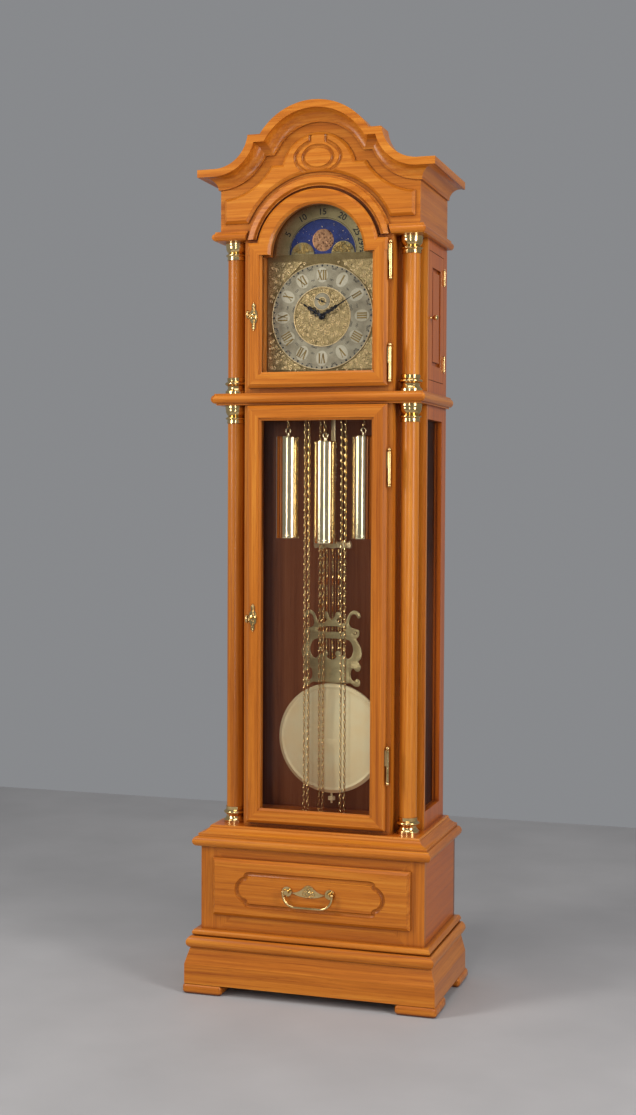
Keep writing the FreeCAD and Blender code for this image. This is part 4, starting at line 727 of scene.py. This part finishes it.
def hands():
    """The pierced hour and minute hands and the plain seconds hand, with the arbors behind them."""
    hour = laced_hand(-56, 72, 7.5, (7, 46, 9.0, 3), -81.1)
    hour.tube([(0, -80, DIAL[1]), (0, -70, DIAL[1])], 4.2, 16)
    hour.piece("hour_hand_pierced", blued, "hour_hand_body", "blackened_steel", ["hour_hand"])
    minute = laced_hand(59, 108, 6.5, (6, 60, 5.0, 5), -84.1)
    minute.lathe([(3.6, -15), (3.6, 0), (3.2, 1.6), (2.0, 2.2), (0, 2.4)], (0, -84.1, DIAL[1]), "y", 20)
    minute.piece("minute_hand_pierced", blued, "minute_hand_body", "blackened_steel", ["minute_hand"])
    second = Shape()
    needle = [(-0.5, -7), (-1.3, -9.5), (0, -11), (1.3, -9.5), (0.5, -7), (0.45, 6), (0, 17), (-0.45, 6)]
    for outline in (flowing(needle, 4), circle((0, 0), 2.2, 20)):
        second.join(Shape().plate(outline, -0.25, 0.35), clock_turn(SECONDS, -76.5, -65))
    second.tube([(0, -76.4, SECONDS[1]), (0, -70, SECONDS[1])], 1.3, 12)
    second.piece("seconds_hand_blade", blued, "seconds_hand_body", "blackened_steel")


# ---- Pendulum ----

def mirrored_loop(half):
    """A closed outline from its right half, which starts and ends on the middle line."""
    right = flowing(half, 5, closed=False)
    return right + mirror(reversed(right[1:-1]))


SWING_Y = 25.5
ROD_FOOT, ROD_TOP = 763, 1090
ROD_COUNT, ROD_PITCH = 9, 7.65

LYRE = [(0, 914), (7, 922), (11, 932), (20, 934), (25, 927), (19, 920), (13, 913), (22, 906), (33, 907),
        (39, 917), (46, 931), (56, 938), (66, 936.5), (73, 930), (74, 922), (68, 919), (64, 925), (58, 929),
        (51, 925), (47, 914), (46, 904), (51, 896), (60, 893), (69, 890), (72, 882), (69, 873), (64, 867),
        (70, 857), (76, 845), (78.5, 833), (76, 820), (70, 812), (72, 806), (76, 797), (72, 788), (64, 787),
        (58, 793), (52, 790), (50, 778), (53, 766), (60, 763), (66, 768), (73, 764), (75, 756), (70, 749),
        (60, 750), (48, 757), (24, 757), (0, 757)]
LYRE_EYE = [(0, 867), (30, 867), (46, 863), (54, 851), (56, 837), (51, 823), (42, 817), (35, 823),
            (27, 826), (22, 834), (14, 836), (9, 829), (13, 822), (7, 816), (0, 814)]
LYRE_GAP = [(0, 897), (11, 898), (22, 895), (34, 895), (37, 889), (30, 884), (0, 884)]
LYRE_SIDE = [(58, 884), (63, 886), (66, 882), (62, 878), (57, 879)]
BRIDGE = [(0, 1111), (14, 1108), (26, 1111), (38, 1108), (45, 1111), (48.5, 1104), (48.5, 1097), (45, 1092),
          (38, 1094), (26, 1091), (14, 1094), (0, 1091)]


def lyre():
    """The lyre plate with the small domes on its scrolls."""
    plate = Shape()
    side = flowing(LYRE_SIDE, 3)
    holes = [mirrored_loop(LYRE_EYE), mirrored_loop(LYRE_GAP), side, mirror(side)]
    plate.plate(mirrored_loop(LYRE), 18.4, 21.6, holes, 0.7, 2)
    for x, z in ((72, 925), (19, 927), (67, 762), (70, 797), (61, 882)):
        for s in (1, -1):
            plate.lathe([(3.2, 0), (2.8, 1.0), (1.2, 1.5), (0, 1.6)], (s * x, 18.6, z), "y", 14)
    plate.piece("lyre_scrollwork", lyre_brass, "pendulum", "brass", ["pendulum_lyre"])


def twisted_rod(shape, x):
    """Two wires wound about each other."""
    wire, twist, steps = 1.25, 22, 240
    for phase in (0, math.pi):
        path = []
        for step in range(steps + 1):
            z = ROD_FOOT + (ROD_TOP - ROD_FOOT) * step / steps
            a = math.tau * z / twist + phase
            path.append((x + wire * math.cos(a), SWING_Y + wire * math.sin(a), z))
        shape.tube(path, wire, 6)


def lyre_rods():
    """A row of rods in the lyre: twisted ones with a ferrule at each end, and plain ones between them."""
    rods = Shape()
    places = [ROD_PITCH * k - ROD_PITCH * (ROD_COUNT - 1) / 2 for k in range(ROD_COUNT)]
    for k, x in enumerate(places):
        if k % 2:
            rods.tube([(x, SWING_Y, ROD_FOOT), (x, SWING_Y, ROD_TOP)], 1.1, 8)
        else:
            twisted_rod(rods, x)
    for low, high in ((ROD_TOP - 14, ROD_TOP), (ROD_FOOT, ROD_FOOT + 12)):
        for x in places[::2]:
            rods.lathe([(2.6, low), (3.1, low + 2), (3.1, high - 2), (2.6, high)], (x, SWING_Y, 0), "z", 14)
    rods.piece("lyre_rods", brass, "pendulum", "brass")


def bridge():
    """The wavy bridge over the rods, the leader above it, and the sill under the lyre."""
    made = Shape()
    made.plate(mirrored_loop(BRIDGE), 20.8, 30.2, (), 0.9, 2)
    made.tube([(0, SWING_Y, 1711), (0, SWING_Y, 1735)], 2.4, 8)
    leader = [(-5, 1109), (5, 1109), (5, 1711), (-5, 1711)]
    made.plate(leader, 24, 27, (), 0.4)
    sill = [(-42, 756), (42, 756), (42, 764), (-42, 764)]
    made.plate(sill, 22.4, 28.6, (), 0.8)
    made.piece("pendulum_bridge", satin_brass, "pendulum", "brass", ["pendulum_hanger"])


# ---- Chains ----

LINK_PITCH = 9.6
CHAIN_Y = -39.5
SPROCKET_HEIGHT, BIGHT_HEIGHT, HOOK_HEIGHT = 1590, 444, 1494
BIGHT_RADIUS = 5
SIDE_EYE, MIDDLE_EYE = 1391, 1379


def link():
    """One chain link, an oval of round wire, upright."""
    steps, half_wide, round_end, straight, wire = 18, 2.35, 2.65, 3.0, 0.95
    path = []
    for k in range(steps):
        a = math.tau * k / steps
        end = straight if math.cos(a) >= 0 else -straight
        path.append((half_wide * math.sin(a), 0, round_end * math.cos(a) + end))
    return Shape().tube(path, wire, 6, closed=True)


def chain(name, path, replaced):
    """A chain of links along a path, every second one turned a quarter."""
    path = [Vector(p) for p in path]
    pattern, made = link(), Shape()
    lengths = [0.0]
    for a, b in zip(path, path[1:]):
        lengths.append(lengths[-1] + (b - a).length)
    count = round(lengths[-1] / LINK_PITCH)
    pitch = lengths[-1] / count
    segment = 0
    for k in range(count):
        at = (k + 0.5) * pitch
        while lengths[segment + 1] < at:
            segment += 1
        a, b = path[segment], path[segment + 1]
        point = a.lerp(b, (at - lengths[segment]) / (b - a).length)
        direction = (b - a).normalized()
        turn = direction.to_track_quat("Z", "Y").to_matrix().to_4x4()
        turn = Matrix.Translation(point) @ turn @ Matrix.Rotation(math.radians(45 + 90 * (k % 2)), 4, "Z")
        made.join(pattern, turn)
    return made.piece(name, brass, None, "brass", [replaced])


def arc(centre, axis, radius, start, stop):
    """Points on an upright arc; axis is its horizontal direction and angles run from it upwards."""
    steps = 18
    line = []
    for k in range(steps + 1):
        a = math.radians(start + (stop - start) * k / steps)
        line.append((centre[0] + axis[0] * radius * math.cos(a), centre[1] + axis[1] * radius * math.cos(a),
                     centre[2] + radius * math.sin(a)))
    return line


def chains():
    """The three chains. Each drops to its weight, and its slack hangs in a loop from sprocket to hook."""
    drop_x, slack_x = 97, 52
    for side, sign in (("left", -1), ("right", 1)):
        wheel = (sign * (drop_x + slack_x) / 2, CHAIN_Y, SPROCKET_HEIGHT)
        bight = (sign * (slack_x - BIGHT_RADIUS), CHAIN_Y, BIGHT_HEIGHT)
        loop = arc(wheel, (sign, 0), (drop_x - slack_x) / 2, 0, 180)
        loop += arc(bight, (sign, 0), BIGHT_RADIUS, 0, -180)
        loop.append((sign * (slack_x - 2 * BIGHT_RADIUS), CHAIN_Y, HOOK_HEIGHT))
        hang(side, loop, (sign * drop_x, CHAIN_Y), SIDE_EYE)
    slack_x, slack_y = -24, -5.5
    toward = Vector((slack_x, slack_y - CHAIN_Y)).normalized()
    wheel = (slack_x / 2, (slack_y + CHAIN_Y) / 2, SPROCKET_HEIGHT)
    loop = arc(wheel, (-toward.x, -toward.y), 20.8, 0, 180)
    loop += arc((slack_x + BIGHT_RADIUS, slack_y, BIGHT_HEIGHT), (-1, 0), BIGHT_RADIUS, 0, -180)
    loop.append((slack_x + 2 * BIGHT_RADIUS, slack_y, HOOK_HEIGHT))
    hang("middle", loop, (0, CHAIN_Y), MIDDLE_EYE)


def hang(side, loop, place, low):
    """One chain: a straight drop from the weight's eye up to the sprocket, and a slack loop hung on the case.
    """
    drop = chain(side + "_drop_links", [(*place, low), (*place, SPROCKET_HEIGHT)], side + "_chain_drop")
    slack = chain(side + "_slack_links", loop, side + "_chain_slack")
    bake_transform(drop)
    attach(slack, "case")
    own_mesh(slack)


# ---- Woodwork and brasses ----

PEDIMENT_FACE, DRAWER_FACE = -114, -160
DRAWER_MIDDLE = 264
PULL_HEIGHT = 269
LOCK_X, LOCK_FACE = -157, -127.0
TRUNK_LOCK, HOOD_LOCK = 925, 1655


def carved(name, node_name, grooves, finish, body):
    """A copy of a CAD panel with routed grooves, each (flat line, Y of the panel's face, width, closed)."""
    source = NODES[node_name]
    made = bpy.data.objects.new(name, source.data.copy())
    bpy.context.scene.collection.objects.link(made)
    cutter = Shape()
    for line, face, width, closed in grooves:
        cutter.tube([(x, face, z) for x, z in line], width / 2, 10, closed)
    tool = cutter.piece(name + "_cutter", finish, body, "wood")
    cut = made.modifiers.new("grooves", "BOOLEAN")
    cut.operation = "DIFFERENCE"
    cut.solver = "EXACT"
    cut.object = tool
    cut.use_self = True
    bpy.context.view_layer.update()
    result = bpy.data.meshes.new_from_object(made.evaluated_get(bpy.context.evaluated_depsgraph_get()))
    made.modifiers.clear()
    made.data = result
    result.materials.clear()
    result.materials.append(finish)
    smooth(result, 30)
    bpy.data.objects.remove(tool)
    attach(made, body)
    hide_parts(node_name)


def panels():
    """Grooves of the raised panel in the pediment and of the drawer front."""
    oval = [(37 * math.cos(t), 2031 + 27 * math.sin(t)) for t in (math.tau * k / 48 for k in range(48))]
    bend = [(34, 2062), (49, 2050), (57, 2034), (52, 2016), (38, 2003), (31, 1999)]
    right = [(20, 2085), (20, 2070), *flowing(bend, 6, False)]
    grooves = [(oval, PEDIMENT_FACE, 10, True)]
    grooves += [(line, PEDIMENT_FACE, 10, False) for line in (right, mirror(right))]
    carved("pediment_panel", "frieze_panel", grooves, wood("wood_pediment", HONEY, "x", shift=1.9), "case")
    quarter = [(152, 303), (160, 300), (162, 292), (171, 288), (181, 277), (184.5, DRAWER_MIDDLE)]
    end = flowing(quarter, 4, False)
    loop = end + [(x, 2 * DRAWER_MIDDLE - z) for x, z in reversed(end[:-1])]
    loop += mirror(reversed(loop))
    carved("drawer_panel", "drawer_front", [(loop, DRAWER_FACE, 11, True)],
           wood("wood_drawer", HONEY, "x", shift=0.12), "drawer")


def escutcheon(z, name, body):
    """Cast foliage over a lock plate, with beads and a raised rim about the keyhole."""
    ground = LOCK_FACE + 0.6
    leaves = ((6, 55, 13, 260), (12, 40, 12, -300), (20, 25, 10, 280), (26, 50, 8, 300))
    made = Shape()
    for up in (1, -1):
        for side in (1, -1):
            for start, heading, length, curl in leaves:
                turn = side * heading if up > 0 else 180 - side * heading
                relief(made, scroll((LOCK_X, z + up * start), turn, length, up * side * curl), ground, 1.8)
        made.tube([(LOCK_X, ground, z + up * k) for k in (7, 16, 26, 32)], [1.8, 1.5, 1.2, 0.6], 8)
        for reach, size in ((12, 2.0), (21, 1.7), (28, 1.9), (33, 1.4)):
            bead = [(size, -0.3), (size * 0.8, size * 0.5), (0, size * 0.8)]
            made.lathe(bead, (LOCK_X, ground, z + up * reach), "y", 12)
    made.lathe([(7.2, -0.8), (6.6, 0.8), (5.2, 1.2), (4.9, 0.3)], (LOCK_X, ground, z), "y", 28)
    made.piece(name, brass, body, "brass")


def key_bow(z, name, body):
    """Openwork between the shank and the ring of a key, and two collars on the shank."""
    bow_y, steps = -157, 7
    made = Shape()
    for side in (1, -1):
        for up in (1, -1):
            made.tube([(LOCK_X + side * 0.6, bow_y - 2.1 * k, z + up * 5 * math.sin(math.pi * k / steps))
                       for k in range(steps + 1)], 0.9, 6)
    made.lathe([(2.4, 0), (3.1, 1.2), (2.4, 2.4)], (LOCK_X, -150, z), "y", 16)
    made.lathe([(2.2, 0), (2.8, 1.0), (2.2, 2.0)], (LOCK_X, -143, z), "y", 16)
    made.piece(name, brass, body, "brass")


def drawer_brass():
    """Leaves of the drawer's bail plate."""
    leaves = ((55, 26, 260), (80, 30, -240), (105, 24, 250), (35, 18, -260), (130, 18, 240))
    made = Shape()
    for side in (1, -1):
        for heading, length, curl in leaves:
            line = scroll((side * 3, PULL_HEIGHT), side * heading, length, side * curl)
            relief(made, line, DRAWER_FACE - 2.2, 3.4)
    made.lathe([(7, -0.6), (6, 1.0), (3, 2.0), (0, 2.8)], (0, DRAWER_FACE - 2, PULL_HEIGHT), "y", 24)
    made.piece("bail_plate_leaves", brass, "drawer", "brass")


def side_door_brasses():
    """Barrels of the side doors' hinges with their small finials, and the brass knobs."""
    barrel = [(0, -4), (1.6, -3), (1.3, -1), (2.5, 0), (2.5, 11.6), (2.2, 12), (2.5, 12.4), (2.5, 23.6),
              (2.2, 24), (2.5, 24.4), (2.5, 36), (1.3, 37), (1.6, 39), (0, 40)]
    turned = [(0, 0), (3.4, 0.2), (3.2, 2), (2.4, 5), (3.0, 7), (5.6, 9), (7, 12.5), (6.2, 16), (3, 18.6),
              (0, 19)]
    knob = Shape().lathe(turned, (250.4, 8.5, HOOD_LOCK), "x", 24)
    for side, sign in (("right", 1), ("left", -1)):
        made = Shape()
        for foot in (1535, 1749):
            made.lathe(barrel, (sign * 253, 143, foot), "z", 16)
        made.add([(sign * p.x, p.y, p.z) for p in knob.points], knob.faces)
        made.piece(side + "_door_brasses", brass, side + "_side_door_body", "brass")


# ---- Stage ----

FLOOR_X, FLOOR_Y = (-2.4, 2.4), (-2.4, 2.2)


def floor_plane():
    """A plain pale floor."""
    mesh = bpy.data.meshes.new("floor")
    mesh.from_pydata([(x, y, 0) for x in FLOOR_X for y in FLOOR_Y], [], [(0, 2, 3, 1)])
    ground = Finish("pale_floor")
    cloud = ground.noise(ground.place, 3.0, 4.0)
    shade = ground.ramp(cloud, [(0.3, (0.38, 0.375, 0.38)), (0.7, (0.43, 0.425, 0.43))])
    mesh.materials.append(ground.set(Base_Color=shade, Roughness=0.7))
    floor = bpy.data.objects.new("floor", mesh)
    bpy.context.scene.collection.objects.link(floor)


def lights():
    """A pale even sky and four soft lamps, each aimed at the clock."""
    world = bpy.data.worlds.new("studio")
    world.use_nodes = True
    world.node_tree.nodes["Background"].inputs["Color"].default_value = (0.88, 0.90, 0.94, 1)
    world.node_tree.nodes["Background"].inputs["Strength"].default_value = 0.28
    bpy.context.scene.world = world
    for name, place, aim, size, power, colour in (
            ("key", (-2.3, -2.2, 2.4), (0, 0, 1.1), (0.8, 2.6), 70, (1.0, 0.97, 0.93)),
            ("fill", (2.6, -1.5, 1.9), (0, 0, 1.1), (0.8, 2.8), 62, (1.0, 0.96, 0.93)),
            ("strip", (0.35, -3.9, 1.5), (0, 0, 1.1), (0.3, 2.6), 24, (1.0, 0.98, 0.95)),
            ("top", (0.3, -1.2, 4.3), (0, 0.0, 1.0), (2.0, 1.0), 34, (1.0, 1.0, 1.0))):
        lamp = bpy.data.lights.new(name, "AREA")
        lamp.shape = "RECTANGLE"
        lamp.size, lamp.size_y = size
        lamp.energy = power
        lamp.color = colour
        holder = bpy.data.objects.new(name, lamp)
        holder.location = place
        holder.rotation_euler = (Vector(aim) - Vector(place)).to_track_quat("-Z", "Y").to_euler()
        bpy.context.scene.collection.objects.link(holder)


def camera():
    """Looks at the clock from the front right, a little above its middle."""
    yaw, pitch, roll = (math.radians(a) for a in (17.469, -2.0606, 0.2699))
    ahead = Vector((-math.sin(yaw) * math.cos(pitch), math.cos(yaw) * math.cos(pitch), math.sin(pitch)))
    right = Vector((math.cos(yaw), math.sin(yaw), 0))
    up = right.cross(ahead)
    side = math.cos(roll) * right + math.sin(roll) * up
    high = -math.sin(roll) * right + math.cos(roll) * up
    lens = bpy.data.cameras.new("camera")
    lens.lens = 51.665
    holder = bpy.data.objects.new("camera", lens)
    facing = Matrix((side, high, -ahead)).transposed().to_4x4()
    holder.matrix_world = Matrix.Translation((1.16205, -3.79001, 1.21243)) @ facing
    bpy.context.scene.collection.objects.link(holder)
    bpy.context.scene.camera = holder


floor_plane()
lights()
camera()
bpy.context.scene.view_settings.view_transform = "Standard"
numerals()
arabesques()
dial_reveal()
dial_marks()
castings()
moon_numbers()
moon_faces()
hands()
lyre()
lyre_rods()
bridge()
chains()
panels()
escutcheon(TRUNK_LOCK, "trunk_escutcheon", "trunk_door")
escutcheon(HOOD_LOCK, "hood_escutcheon", "hood_door")
key_bow(TRUNK_LOCK, "trunk_key_bow", "trunk_key_body")
key_bow(HOOD_LOCK, "hood_key_bow", "hood_key_body")
drawer_brass()
side_door_brasses()
